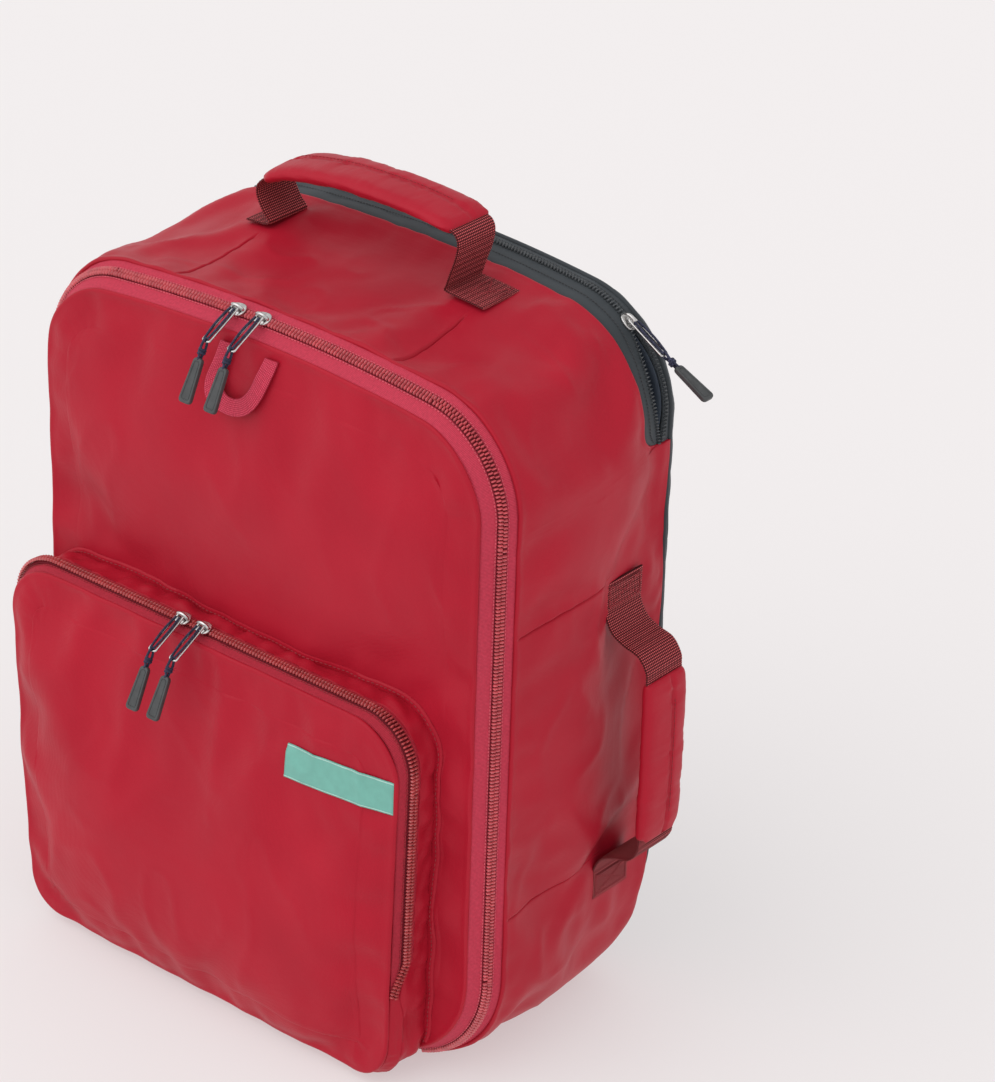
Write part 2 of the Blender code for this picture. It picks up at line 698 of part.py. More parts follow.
def puller_curve():
    half, long, corner = PULLER_HALF, PULLER_LONG, 0.0012
    points = [
        (half - corner, 0, 0), (half, 0, -corner), (half, 0, corner - long), (half - corner, 0, -long),
        (corner - half, 0, -long), (-half, 0, corner - long), (-half, 0, -corner), (corner - half, 0, 0),
    ]
    return wire("puller", points, WIRE_RADIUS, None, cyclic=True)


def cord_curve():
    """A cord folded over the puller's end bar, which is the origin, with both ends at the tab."""
    bend = WIRE_RADIUS + CORD_RADIUS + 0.0004
    points = [(0, CORD_RADIUS + 0.0002, -CORD_LONG), (0, bend, -0.004)]
    points += [(0, bend * cos(radians(a)), bend * sin(radians(a))) for a in (0, 45, 90, 135, 180)]
    points += [(0, -bend, -0.004), (0, -CORD_RADIUS - 0.0002, -CORD_LONG)]
    return wire("cord", points, CORD_RADIUS, None)


def tab_mesh():
    """A moulded tab, hanging below the cord's ends."""
    bm = bmesh.new()
    bmesh.ops.create_cube(bm, size=1.0)
    bmesh.ops.scale(bm, vec=(TAB_WIDE, TAB_THICK, TAB_LONG), verts=bm.verts[:])
    bmesh.ops.translate(bm, vec=(0, 0, -CORD_LONG - GAP - TAB_LONG / 2), verts=bm.verts[:])
    for vert in bm.verts:
        if vert.co.z > -CORD_LONG - TAB_LONG / 2:
            vert.co.x *= 0.72
    bmesh.ops.bevel(
        bm, geom=bm.edges[:], offset=0.0008, segments=1, affect="EDGES", clamp_overlap=True
    )
    return to_mesh("tab", bm)


SLIDER, PULLER, LOOP, TAB = slider_mesh(), puller_curve(), cord_curve(), tab_mesh()


def basis(along, down):
    """A rotation whose X is along and whose -Z is down."""
    along, down = along.normalized(), down.normalized()
    return Matrix((along, (-down).cross(along), -down)).transposed().to_4x4()


def shared(name, data, look, place, turn):
    if not data.materials:
        data.materials.append(None)
    obj = bpy.data.objects.new(name, data)
    parts.objects.link(obj)
    material = finish(f"{name}_{look[0]}", *look[1:])
    obj.material_slots[0].link = "OBJECT"
    obj.material_slots[0].material = material
    obj.matrix_world = Matrix.Translation(place) @ turn
    return obj


def pull(prefix, seat, normal, travel, axis, puller_way, tab_way, parent):
    """A slider on its zip, its wire puller and the cord and tab that hang from it."""
    hole = seat + normal * (SLIDER_THICK + LUG_RISE)
    slider = shared(f"{prefix}_slider", SLIDER, NICKEL, hole, basis(travel, -normal))
    if abs(axis.dot(travel)) < 0.5:
        slider.matrix_world = Matrix.Translation(hole) @ basis(axis, -normal)
    puller = shared(f"{prefix}_puller", PULLER, NICKEL, hole, basis(axis, puller_way))
    end = hole + puller_way.normalized() * PULLER_LONG
    cord = shared(f"{prefix}_cord", LOOP, CORD, end, basis(axis, tab_way))
    tab = shared(f"{prefix}_tab", TAB, RUBBER, end, basis(axis, tab_way))
    carriage = pivot(f"{prefix}_slider_axis", hole, [slider], parent)
    swing = pivot(f"{prefix}_puller_axis", hole, [puller], carriage)
    pivot(f"{prefix}_tab_axis", end, [cord, tab], swing)
    return hole, end


def dip(angle):
    """Forwards and down by that angle below level."""
    return Vector((0, -cos(radians(angle)), -sin(radians(angle))))


COVER_AXIS = (0, mix(SEAM_Y, FRONT_Y, COIL_AT), BEVEL_IN * COIL_AT)
POCKET_AXIS = (0, POCKET_COIL[4], POCKET_COIL[2])
cover_axis = pivot(
    "cover_axis", COVER_AXIS, [cover_panel, main_zip_tape_front, pocket_gusset, pocket_zip_tape_rear]
)
pocket_axis = pivot(
    "pocket_axis", POCKET_AXIS, [pocket_panel, pocket_zip_tape_front, label_patch], cover_axis
)
pivot("hang_loop_axis", (0, FRONT_Y - 0.003, 0.4965), [hang_loop], cover_axis)


def station_at(x, point, t):
    """The station on the top edge whose point has this x."""
    low, high = 19.0, 25.0
    for _ in range(40):
        middle = (low + high) / 2
        if point(middle, t).x > x:
            low = middle
        else:
            high = middle
    return low


def top_seat(point, t, x, length_of_t):
    """Where a slider sits on a top edge: the place, the outward normal and the zip's direction."""
    s = station_at(x, point, t)
    along = (point(s - 0.2, t) - point(s + 0.2, t)).normalized()
    over = (point(s, t + 0.05) - point(s, t)).normalized()
    normal = over.cross(along).normalized()
    normal = normal if normal.z > 0 else -normal
    return point(s, t) + normal * (BEAD_HIGH + 3 * GAP), normal, along


ACROSS = Vector((1, 0, 0))
for side, x in zip(("left", "right"), MAIN_SLIDERS_X):
    seat, normal, along = top_seat(zip_point, COIL_AT, x, BEVEL_LONG)
    pull(f"main_{side}", seat, normal, along, ACROSS, dip(PULLER_DIP), dip(TAB_DIP), cover_axis)
for side, x in zip(("left", "right"), POCKET_SLIDERS_X):
    seat, normal, along = top_seat(pocket_point, 1.02, x, RIM_LONG)
    pull(f"pocket_{side}", seat, normal, along, ACROSS, dip(PULLER_DIP), dip(TAB_DIP), pocket_axis)

racket_seat = bag_point(MOUTH_END, RACKET_ZIP_Y)
racket_along = (bag_point(MOUTH_END - 0.5, RACKET_ZIP_Y) - bag_point(MOUTH_END + 0.5, RACKET_ZIP_Y)).normalized()
racket_normal = racket_along.cross(Vector((0, -1, 0)))
racket_normal = racket_normal if racket_normal.z > 0 else -racket_normal
pull(
    "racket",
    racket_seat + racket_normal * 0.0012,
    racket_normal,
    racket_along,
    Vector((0, 1, 0)),
    Vector((cos(radians(RACKET_PULL_DIP)), 0, -sin(radians(RACKET_PULL_DIP)))),
    Vector((cos(radians(RACKET_TAB_DIP)), 0, -sin(radians(RACKET_TAB_DIP)))),
    None,
)

# ---------------------------------------------------------------- top handle
WIDE_Y = Vector((0, 1, 0))
TOP_SURFACE = top_point(0.078, TOP_HANDLE_Y, 0).z
# The soft handle leans to the left: its path, from the left leg over the grip to the right leg.
LEFT_LEG = ((-0.0940, 0.0068), (-0.0958, 0.0120), (-0.0985, 0.0200), (-0.0985, 0.0270))
GRIP = (
    (-0.0935, 0.0330), (-0.0800, 0.0405), (-0.0600, 0.0460), (-0.0300, 0.0505), (0.0, 0.0520),
    (0.0300, 0.0520), (0.0550, 0.0500), (0.0720, 0.0465),
)
RIGHT_LEG = ((0.0768, 0.0430), (0.0780, 0.0370), (0.0760, 0.0270), (0.0720, 0.0160), (0.0690, 0.0068))

top_path = [Vector((x, TOP_HANDLE_Y, TOP_SURFACE + z)) for x, z in LEFT_LEG + GRIP + RIGHT_LEG]
top_handle_webbing = ribbon("top_handle_webbing", top_path, WIDE_Y, WEB_WIDE, WEB_THICK, WEBBING)
grip_path = [Vector((x, TOP_HANDLE_Y, TOP_SURFACE + z)) for x, z in GRIP]
SLOT = (WEB_WIDE + 0.005, WEB_THICK + 0.0024)
top_handle_sleeve = sleeve(
    "top_handle_sleeve", grip_path, WIDE_Y, SLEEVE_WIDE, SLEEVE_THICK, SLOT, RED
)
for name, sign in (("left", -1), ("right", 1)):
    rows = []
    for x in (0.0660, 0.0830, 0.1000):
        ys = (-WEB_WIDE / 2, 0, WEB_WIDE / 2)
        rows.append([top_point(sign * x, TOP_HANDLE_Y + y, GAP + ANCHOR_THICK) for y in ys])
    skin(f"top_handle_anchor_{name}", rows, WEBBING, ANCHOR_THICK, outwards=sign > 0)
pivot("top_handle_axis", (0, TOP_HANDLE_Y, TOP_SURFACE + 0.0045), [top_handle_webbing, top_handle_sleeve])

# ---------------------------------------------------------------- side handle
SIDE_SURFACE = section(SIDE_HANDLE_Y)[0]
SIDE_MIDDLE = 0.226
SIDE_LEG = ((0.0042, 0.0950), (0.0085, 0.0880), (0.0190, 0.0825), (0.0310, 0.0790), (0.0380, 0.0700))
SIDE_GRIP = ((0.0390, 0.0620), (0.0400, 0.0420), (0.0405, 0.0210), (0.0405, 0.0))


def side_way(half):
    """A path on the right side, mirrored about the handle's middle height."""
    points = [(x, z) for x, z in half] + [(x, -z) for x, z in reversed(half) if z > 0]
    return [Vector((SIDE_SURFACE + x, SIDE_HANDLE_Y, SIDE_MIDDLE + z)) for x, z in points]


side_handle_webbing = ribbon(
    "side_handle_webbing", side_way(SIDE_LEG + SIDE_GRIP), WIDE_Y, WEB_WIDE, WEB_THICK, WEBBING
)
side_handle_sleeve = sleeve(
    "side_handle_sleeve", side_way(SIDE_GRIP), WIDE_Y, SLEEVE_WIDE, SLEEVE_THICK, SLOT, RED
)
for name, heights in (("top", (0.3230, 0.3350, 0.3470)), ("bottom", (0.1050, 0.1170, 0.1290))):
    rows = []
    for z in heights:
        row = []
        for y in (SIDE_HANDLE_Y - WEB_WIDE / 2, SIDE_HANDLE_Y, SIDE_HANDLE_Y + WEB_WIDE / 2):
            row.append(Vector((section(y)[0] + GAP + ANCHOR_THICK, y, z)))
        rows.append(row)
    skin(f"side_handle_anchor_{name}", rows, WEBBING, ANCHOR_THICK, outwards=False)
pivot(
    "side_handle_axis",
    (SIDE_SURFACE + 0.0045, SIDE_HANDLE_Y, SIDE_MIDDLE),
    [side_handle_webbing, side_handle_sleeve],
)

# ---------------------------------------------------------------- back: pads, band and straps
for name, sign in (("left", -1), ("right", 1)):
    padded_box(f"back_pad_{name}", (0.080, 0.010, 0.108), (sign * 0.060, BACK_Y + 0.0053, 0.376), MESH, 0.004)
padded_box("lumbar_pad", (0.220, 0.010, 0.075), (0, BACK_Y + 0.0053, 0.198), MESH, 0.004)
padded_box("strap_yoke", (0.190, 0.003, 0.030), (0, BACK_Y + 0.0018, 0.468), DARK, 0.0008)

band_path = []
for x in (-0.176, -0.150, -0.100, 0.0, 0.100, 0.150, 0.176):
    bow = 0.0014 + 0.0075 * min(1.0, (1 - abs(x) / 0.176) / 0.3)
    band_path.append(Vector((x, BACK_Y + bow, 0.286)))
ribbon("trolley_band", band_path, Vector((0, 0, 1)), 0.052, 0.0018, DARK)

STRAP_TOP_Z = 0.449
STRAP_ANCHOR_X, STRAP_ANCHOR_THICK = 0.150, 0.003


def back_surface(x, z):
    """Depth of the back's rounded lower edge at (x, z)."""
    near, far = ROUND_Y, BACK_Y
    for _ in range(30):
        y = (near + far) / 2
        half, _top, bottom, _r_top, radius = section(y)
        over = max(0.0, abs(x) - (half - radius))
        edge = bottom + radius - sqrt(max(0.0, radius**2 - over**2))
        near, far = (y, far) if edge < z else (near, y)
    return near


for name, sign in (("left", -1), ("right", 1)):
    route = (
        (0.052, 0.0085, 0.4490), (0.055, 0.0190, 0.4380), (0.062, 0.0320, 0.4100), (0.073, 0.0390, 0.3700),
        (0.087, 0.0400, 0.3300), (0.102, 0.0360, 0.2880), (0.115, 0.0310, 0.2500), (0.124, 0.0280, 0.2250),
    )
    pad_path = [Vector((sign * x, BACK_Y + y, z)) for x, y, z in route]
    loops = []
    for k, (point, wide, up) in enumerate(frames(pad_path, Vector((1, 0, 0.25 * sign)))):
        narrow = (0.60, 0.80, 0.95, 1.0, 1.0, 0.98, 0.85, 0.50)[k]
        flat = (0.35, 0.80, 1.0, 1.0, 1.0, 1.0, 0.85, 0.40)[k]
        shape = oval(STRAP_WIDE * narrow, STRAP_THICK * flat, count=10)
        loops.append([point + wide * a + up * b for a, b in shape])
    shoulder_pad = loft(f"shoulder_pad_{name}", loops, MESH)

    # The ladder lock hangs below the pad, tilted like it.
    down = (pad_path[-1] - pad_path[-2]).normalized()
    across = Vector((1, 0, 0))
    across = (across - down * across.dot(down)).normalized()
    turn = basis(across, down)
    centre = pad_path[-1] + down * (LOCK_HIGH / 2 + 0.0015)
    lock = padded_box(f"ladder_lock_{name}", (LOCK_WIDE, LOCK_THICK, LOCK_HIGH), (0, 0, 0), PLASTIC, 0.0008)
    lock.modifiers["rounding"].segments = 1
    lock.matrix_world = Matrix.Translation(centre) @ turn
    for k, height in enumerate((0.0055, -0.0050)):
        cutter = padded_box(f"lock_slot_{name}_{k}", (0.029, 0.02, 0.0062), (0, 0, 0), PLASTIC, 0.0003)
        cutter.modifiers.clear()
        parts.objects.unlink(cutter)
        cutters.objects.link(cutter)
        cutter.hide_render = True
        cutter.display_type = "WIRE"
        cutter.matrix_world = Matrix.Translation(centre) @ turn @ Matrix.Translation((0, 0, height))
        cut = lock.modifiers.new(f"slot_{k}", "BOOLEAN")
        cut.operation = "DIFFERENCE"
        cut.object = cutter

    # Webbing from the base anchor, round the lock's lowest bar, and down again as a loose tail.
    place = Matrix.Translation(centre) @ turn
    low_bar = -0.01055
    bend = 0.0037 + STRAP_WEB_THICK / 2
    wrap = [place @ Vector((0, -bend * cos(a), low_bar + bend * sin(a))) for a in (0, pi / 4, pi / 2, 3 * pi / 4, pi)]
    sewn = Vector((sign * STRAP_ANCHOR_X, BACK_Y + 0.0045, 0.1145))
    tail = place @ Vector((0, bend + 0.001, low_bar - 0.060))
    tail.y = max(tail.y, wrap[-1].y + 0.004)
    tail.x = wrap[-1].x + sign * 0.006
    front_first = wrap if wrap[0].y < wrap[-1].y else wrap[::-1]
    web_path = [sewn, sewn.lerp(front_first[0], 0.5), *front_first, front_first[-1].lerp(tail, 0.5), tail]
    webbing = ribbon(f"strap_webbing_{name}", web_path, across, STRAP_WEB_WIDE, STRAP_WEB_THICK, BLACK_WEB)

    # A sewn fabric tab low on the back holds the webbing.
    rows = []
    for z, half in ((0.112, 0.014), (0.085, 0.024)):
        row = []
        for x in (-half, 0.0, half):
            x += sign * STRAP_ANCHOR_X
            row.append(Vector((x, back_surface(x, z) + STRAP_ANCHOR_THICK + 4 * GAP, z)))
        rows.append(row)
    skin(f"strap_anchor_{name}", rows, DARK, STRAP_ANCHOR_THICK, outwards=False)
    pivot(f"strap_{name}_axis", (0, BACK_Y + 0.0085, STRAP_TOP_Z), [shoulder_pad, lock, webbing])
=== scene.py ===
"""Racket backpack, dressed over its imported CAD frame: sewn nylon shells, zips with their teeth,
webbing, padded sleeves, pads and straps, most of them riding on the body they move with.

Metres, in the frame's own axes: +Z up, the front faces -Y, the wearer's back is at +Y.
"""

import json
from functools import partial
from math import cos, exp, pi, radians, sin, sqrt

import bmesh
import bpy
import numpy as np
from mathutils import Matrix, Vector, kdtree, noise

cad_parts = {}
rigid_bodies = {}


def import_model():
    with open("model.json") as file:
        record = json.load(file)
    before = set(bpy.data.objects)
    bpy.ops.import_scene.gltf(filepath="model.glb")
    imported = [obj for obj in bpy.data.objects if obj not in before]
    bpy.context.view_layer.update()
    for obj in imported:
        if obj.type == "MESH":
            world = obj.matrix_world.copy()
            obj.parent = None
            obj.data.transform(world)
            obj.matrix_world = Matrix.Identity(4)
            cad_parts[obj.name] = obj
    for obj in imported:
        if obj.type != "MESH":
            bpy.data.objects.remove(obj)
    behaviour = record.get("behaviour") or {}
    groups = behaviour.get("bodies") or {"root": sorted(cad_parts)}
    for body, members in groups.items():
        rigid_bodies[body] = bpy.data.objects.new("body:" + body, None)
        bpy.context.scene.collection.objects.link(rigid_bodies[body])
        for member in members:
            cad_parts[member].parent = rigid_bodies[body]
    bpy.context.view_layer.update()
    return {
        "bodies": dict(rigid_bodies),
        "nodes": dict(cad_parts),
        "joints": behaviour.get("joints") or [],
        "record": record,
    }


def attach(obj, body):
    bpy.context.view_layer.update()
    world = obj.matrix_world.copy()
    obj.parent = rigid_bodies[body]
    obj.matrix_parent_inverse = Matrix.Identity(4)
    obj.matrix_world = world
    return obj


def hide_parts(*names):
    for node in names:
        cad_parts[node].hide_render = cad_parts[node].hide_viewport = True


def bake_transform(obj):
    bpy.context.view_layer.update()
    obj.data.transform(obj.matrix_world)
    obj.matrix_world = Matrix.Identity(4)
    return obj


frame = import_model()

# ---------------------------------------------------------------- the bag's driving dimensions
HEIGHT = 0.500
HALF_WIDTH = 0.203
ARCH = 0.016
TOP_RADIUS = 0.064
BOTTOM_RADIUS = 0.090
REAR_TOP = 0.513
REAR_HALF_WIDTH = 0.192
REAR_TOP_RADIUS = 0.066
BACK_TOP = 0.506
BACK_HALF_WIDTH = 0.187
BACK_BOTTOM = 0.140

FRONT_Y = -0.102
SEAM_Y = -0.080
BAND_Y = 0.056
ROUND_Y = 0.076
RACKET_ZIP_Y = 0.078
BACK_SEAM_Y = 0.090
BACK_Y = 0.100

# Where zips and seams end are stations of the outline, which outline_point numbers.
BEVEL_IN = 0.0115
COIL_AT = 0.42
MAIN_ZIP_END = 3.5
BAND_END = 12.0
MOUTH_END = 16.8
MOUTH_FRONT = 0.008
MOUTH_REAR = 0.005

POCKET_BASE = (-0.1890, 0.1620, 0.0135, 0.2890, FRONT_Y)
POCKET_COIL = (-0.2046, 0.1607, 0.0040, 0.2878, -0.1247)
POCKET_FRONT = (-0.2005, 0.1566, 0.0075, 0.2837, -0.1341)
POCKET_DEPTHS = (POCKET_BASE, POCKET_COIL, POCKET_FRONT)
POCKET_RADIUS = 0.040
POCKET_LOW_RADIUS = 0.030
POCKET_LEAN_LEFT = 0.018
POCKET_LEAN_RIGHT = 0.006
POCKET_BULGE = 0.016
POCKET_TAPE_AT = 0.70
POCKET_ZIP_END = 9.0
COVER_BULGE = 0.010

STATIONS = 44
TOOTH_PITCH = 0.0026
LUG_RISE = 0.0024
SLIDER_THICK = 0.0022
STITCH_PITCH = 0.0026
STITCH_AT = 0.0044  # from the zip's middle to the stitches beside its teeth
# The dark strip is painted shade beneath and between the teeth.
SHADE_STRIP_WIDE = 0.0034  # the dark strip beneath each row of teeth
PULLER_LONG = 0.033
CORD_LONG = 0.0120
TAB_LONG = 0.031

TOP_HANDLE_Y = 0.022
SIDE_HANDLE_Y = 0.040
WEB_WIDE, WEB_THICK = 0.038, 0.0018
SLEEVE_WIDE, SLEEVE_THICK = 0.045, 0.013
# The middle and half length of each sewn-down end of webbing, along X on the top and Z on the side.
TOP_ANCHORS = ((-0.0985, 0.014), (0.0890, 0.018))
SIDE_ANCHORS = ((0.3385, 0.014), (0.1130, 0.014))

LABEL_X = (0.0680, 0.1535)
LABEL_Z = (0.2235, 0.2478)
FLOOR_GAP = 0.0004  # the base rests on the floor, so nothing bulges below this


def mix(a, b, t):
    return a + (b - a) * t


def ease(t):
    t = min(1.0, max(0.0, t))
    return t * t * (3 - 2 * t)


def ripple(x, y, z, scale, seed=0.0):
    """Smooth noise from -1 to 1 whose bumps are about scale across."""
    return noise.noise(Vector((x / scale + seed, y / scale + 1.7 * seed, z / scale - seed)))


# ---------------------------------------------------------------- surfaces that the pieces follow
SIDE_STATIONS = (8, 9, 10, 11, 12, 13)
SIDE_SHARES = (0.0, 0.20, 0.45, 0.70, 0.95, 1.0)


def outline_point(s, half, top, bottom, r_top, r_bottom, arch=ARCH):
    """A point of a rounded rectangle. Station 0 is the bottom's middle, 2-8 the bottom right corner,
    8-13 the right side, 13-19 the top right corner and 22 the top's middle. The left side mirrors it."""
    s = s % STATIONS
    side = -1 if s > STATIONS / 2 else 1
    s = min(s, STATIONS - s)
    if s < 2:
        x, z = (half - r_bottom) * s / 2, bottom
    elif s < 8:
        turn = radians(15 * (s - 2) - 90)
        x, z = half - r_bottom + r_bottom * cos(turn), bottom + r_bottom * (1 + sin(turn))
    elif s < 13:
        share = float(np.interp(s, SIDE_STATIONS, SIDE_SHARES))
        x, z = half, mix(bottom + r_bottom, top - r_top, share)
    elif s < 19:
        turn = radians(15 * (s - 13))
        x, z = half - r_top + r_top * cos(turn), top - r_top + r_top * sin(turn)
    else:
        x, z = (half - r_top) * (22 - s) / 3, top
    z += arch * (1 - (x / half) ** 2) * max(0.0, 2 * z / HEIGHT - 1)
    return side * x, z


def section(y):
    """Half-width, top, bottom, top radius and bottom radius of the bag's outside at depth y."""
    if y <= ROUND_Y:
        t = (y - SEAM_Y) / (ROUND_Y - SEAM_Y)
        half = mix(HALF_WIDTH, REAR_HALF_WIDTH, t * abs(t))
        return half, mix(HEIGHT, REAR_TOP, t), 0.0, mix(TOP_RADIUS, REAR_TOP_RADIUS, t), BOTTOM_RADIUS
    c = sqrt(max(0.0, 1 - ((y - ROUND_Y) / (BACK_Y - ROUND_Y)) ** 2))
    half = mix(BACK_HALF_WIDTH, REAR_HALF_WIDTH, c)
    return half, mix(BACK_TOP, REAR_TOP, c), BACK_BOTTOM * (1 - c), REAR_TOP_RADIUS, BOTTOM_RADIUS


def bag_point(s, y, inset=0.0):
    half, top, bottom, r_top, r_bottom = section(y)
    x, z = outline_point(s, half - inset, top - inset, bottom + inset, r_top - inset, r_bottom - inset)
    return Vector((x, y, z))


def side_normal(s, y):
    return (bag_point(s, y) - bag_point(s, y, 0.001)).normalized()


def top_point(x, y, rise):
    """A point of the arched top, raised off it."""
    half, top, *_ = section(y)
    return Vector((x, y, top + ARCH * (1 - (x / half) ** 2) * (2 * top / HEIGHT - 1) + rise))


def cover_seam(s, inset=0.0):
    """(x, z) of the cover's seam, or of a line drawn in from it."""
    edge = BEVEL_IN + inset
    return outline_point(s, HALF_WIDTH - edge, HEIGHT - edge, edge, TOP_RADIUS - edge, BOTTOM_RADIUS - edge)


def zip_point(s, t):
    """A point of the sloping main zip strip, from the gusset seam (0) to the cover seam (1)."""
    x, z = cover_seam(s)
    return bag_point(s, SEAM_Y).lerp(Vector((x, FRONT_Y, z)), t)


def pocket_outline(s, left, right, bottom, top, inset=0.0):
    """(x, z) of the pocket's outline. Its sides lean, more so towards the base."""
    half, middle = (right - left) / 2 - inset, (right + left) / 2
    x, z = outline_point(
        s, half, top - inset, bottom + inset, POCKET_RADIUS - inset, POCKET_LOW_RADIUS - inset, arch=0.0
    )
    side, low = (x + half) / (2 * half), 1 - z / top
    lean = POCKET_LEAN_LEFT * low * (1 - side) - POCKET_LEAN_RIGHT * low * side
    return x + middle + lean, z


def pocket_point(s, depth, inset=0.0):
    """A point of the pocket's side, at depth 0 on the cover, 1 at the teeth and 2 at its front seam."""
    k = min(1, int(depth))
    xa, za = pocket_outline(s, *POCKET_DEPTHS[k][:4], inset)
    xb, zb = pocket_outline(s, *POCKET_DEPTHS[k + 1][:4], inset)
    y = mix(POCKET_DEPTHS[k][4], POCKET_DEPTHS[k + 1][4], depth - k)
    return Vector((mix(xa, xb, depth - k), y, mix(za, zb, depth - k)))


def pocket_seam(s, inset=0.0):
    return pocket_outline(s, *POCKET_FRONT[:4], inset)


def cover_y(x, z):
    """Depth of the cover, which bulges above the pocket."""
    across = max(0.0, 1 - (x / (HALF_WIDTH - BEVEL_IN)) ** 2)
    up = min(1.0, max(0.0, (z - 0.310) / 0.190))
    return FRONT_Y - COVER_BULGE * across * sin(pi * up) ** 1.5


def pocket_y(x, z):
    left, right, bottom, top, y = POCKET_FRONT
    across = max(0.0, 1 - abs(2 * (x - left) / (right - left) - 1) ** 3)
    up = max(0.0, 1 - abs(2 * (z - bottom) / (top - bottom) - 1) ** 3)
    return y - POCKET_BULGE * across * up


def run_along(places):
    """The distance along a line of points, at each of them."""
    return np.concatenate([[0.0], np.cumsum(np.linalg.norm(np.diff(places, axis=0), axis=1))])


def even_stations(start, end, step, point):
    """Stations from start to end that are about step apart along the curve, and their run along it."""
    fine = np.linspace(start, end, 3000)
    places = np.array([tuple(point(s)) for s in fine])
    run = run_along(places)
    runs = np.linspace(0.0, run[-1], max(2, round(run[-1] / step)) + 1)
    return [float(s) for s in np.interp(runs, run, fine)], runs


def station_of(value, index, point, low, high):
    """The station between low and high where a falling coordinate of the point has this value."""
    for _ in range(40):
        middle = (low + high) / 2
        low, high = (middle, high) if point(middle)[index] > value else (low, middle)
    return low


# ---------------------------------------------------------------- materials
def linked(material, kind, **inputs):
    """A new node, whose inputs are values or the outputs of other nodes."""
    tree = material.node_tree
    node = tree.nodes.new(kind)
    for name, value in inputs.items():
        key = int(name[1:]) if name[0] == "_" else name.replace("_", " ")
        if isinstance(value, bpy.types.NodeSocket):
            tree.links.new(value, node.inputs[key])
        else:
            node.inputs[key].default_value = value
    return node


def ramp(material, factor, stops):
    node = linked(material, "ShaderNodeValToRGB", _0=factor)
    elements = node.color_ramp.elements
    while len(elements) < len(stops):
        elements.new(0.5)
    for element, (place, colour) in zip(elements, stops):
        element.position = place
        element.color = (*colour, 1.0) if len(colour) == 3 else colour
    return node.outputs["Color"]


def greys(material, factor, *stops):
    return ramp(material, factor, [(place, (grey,) * 3) for place, grey in stops])


def multiplied(material, one, other):
    """The product of two colours."""
    node = linked(material, "ShaderNodeMix", _0=1.0, _6=one, _7=other)
    node.data_type, node.blend_type = "RGBA", "MULTIPLY"
    return node.outputs[2]


def object_place(material):
    return linked(material, "ShaderNodeTexCoord").outputs["Object"]


def metre_map(material):
    """The UV map, which is in metres along the piece and across it."""
    return linked(material, "ShaderNodeUVMap").outputs["UV"]


def maths(material, operation, a, b=0.0):
    node = linked(material, "ShaderNodeMath", _0=a, _1=b)
    node.operation = operation
    return node.outputs["Value"]


def shade(colour, factor):
    return tuple(min(1.0, c * factor) for c in colour)


def start_material(name, roughness, metallic=0.0, sheen=0.0, tint=(1, 1, 1), coat=0.0, specular=0.5):
    material = bpy.data.materials.new(name)
    material.use_nodes = True
    shader = material.node_tree.nodes["Principled BSDF"]
    shader.inputs["Roughness"].default_value = roughness
    shader.inputs["Metallic"].default_value = metallic
    shader.inputs["Specular IOR Level"].default_value = specular
    shader.inputs["Sheen Weight"].default_value = sheen
    shader.inputs["Sheen Roughness"].default_value = 0.45
    shader.inputs["Sheen Tint"].default_value = (*tint, 1.0)
    shader.inputs["Coat Weight"].default_value = coat
    shader.inputs["Coat Roughness"].default_value = 0.25
    return material, shader


def bump(material, shader, height, strength, distance):
    node = linked(material, "ShaderNodeBump", Height=height, Strength=strength, Distance=distance)
    material.node_tree.links.new(node.outputs["Normal"], shader.inputs["Normal"])


def link(material, output, shader, name):
    material.node_tree.links.new(output, shader.inputs[name])


def grain(material, place, scale, detail=2.0):
    node = linked(material, "ShaderNodeTexNoise", Vector=place, Scale=scale, Detail=detail)
    return node.outputs["Fac"]


def threads(material, place, axis, pitch):
    """A wave across one axis, a thread per pitch."""
    node = linked(material, "ShaderNodeTexWave", Vector=place, Scale=0.314159 / pitch)
    node.bands_direction = axis
    return node.outputs["Fac"]


def nylon(name, colour, roughness=0.45, sheen=0.25, tint=(1.0, 0.55, 0.55), pitch=0.0009, spread=0.10):
    """Plain-woven nylon: fine threads, a slow drift of colour, and a soft sheen."""
    material, shader = start_material(name, roughness, sheen=sheen, tint=tint, specular=0.16)
    place = object_place(material)
    drift = grain(material, place, 14.0)
    tones = ramp(material, drift, ((0.30, shade(colour, 1 - spread)), (0.70, shade(colour, 1 + spread))))
    speck = greys(material, grain(material, place, 1400.0), (0.35, 0.93), (0.65, 1.0))
    link(material, multiplied(material, tones, speck), shader, "Base Color")
    along, across, round_it = (threads(material, place, axis, pitch) for axis in "XZY")
    weave = maths(material, "ADD", maths(material, "MULTIPLY", along, across), round_it)
    creases = maths(material, "MULTIPLY", grain(material, place, 55.0, 4.0), 4.5)
    height = maths(material, "ADD", maths(material, "MULTIPLY", weave, 0.35), creases)
    bump(material, shader, height, 0.30, 0.00030)
    gloss = greys(material, grain(material, place, 30.0), (0.3, roughness * 0.9), (0.7, roughness * 1.1))
    link(material, gloss, shader, "Roughness")
    return material


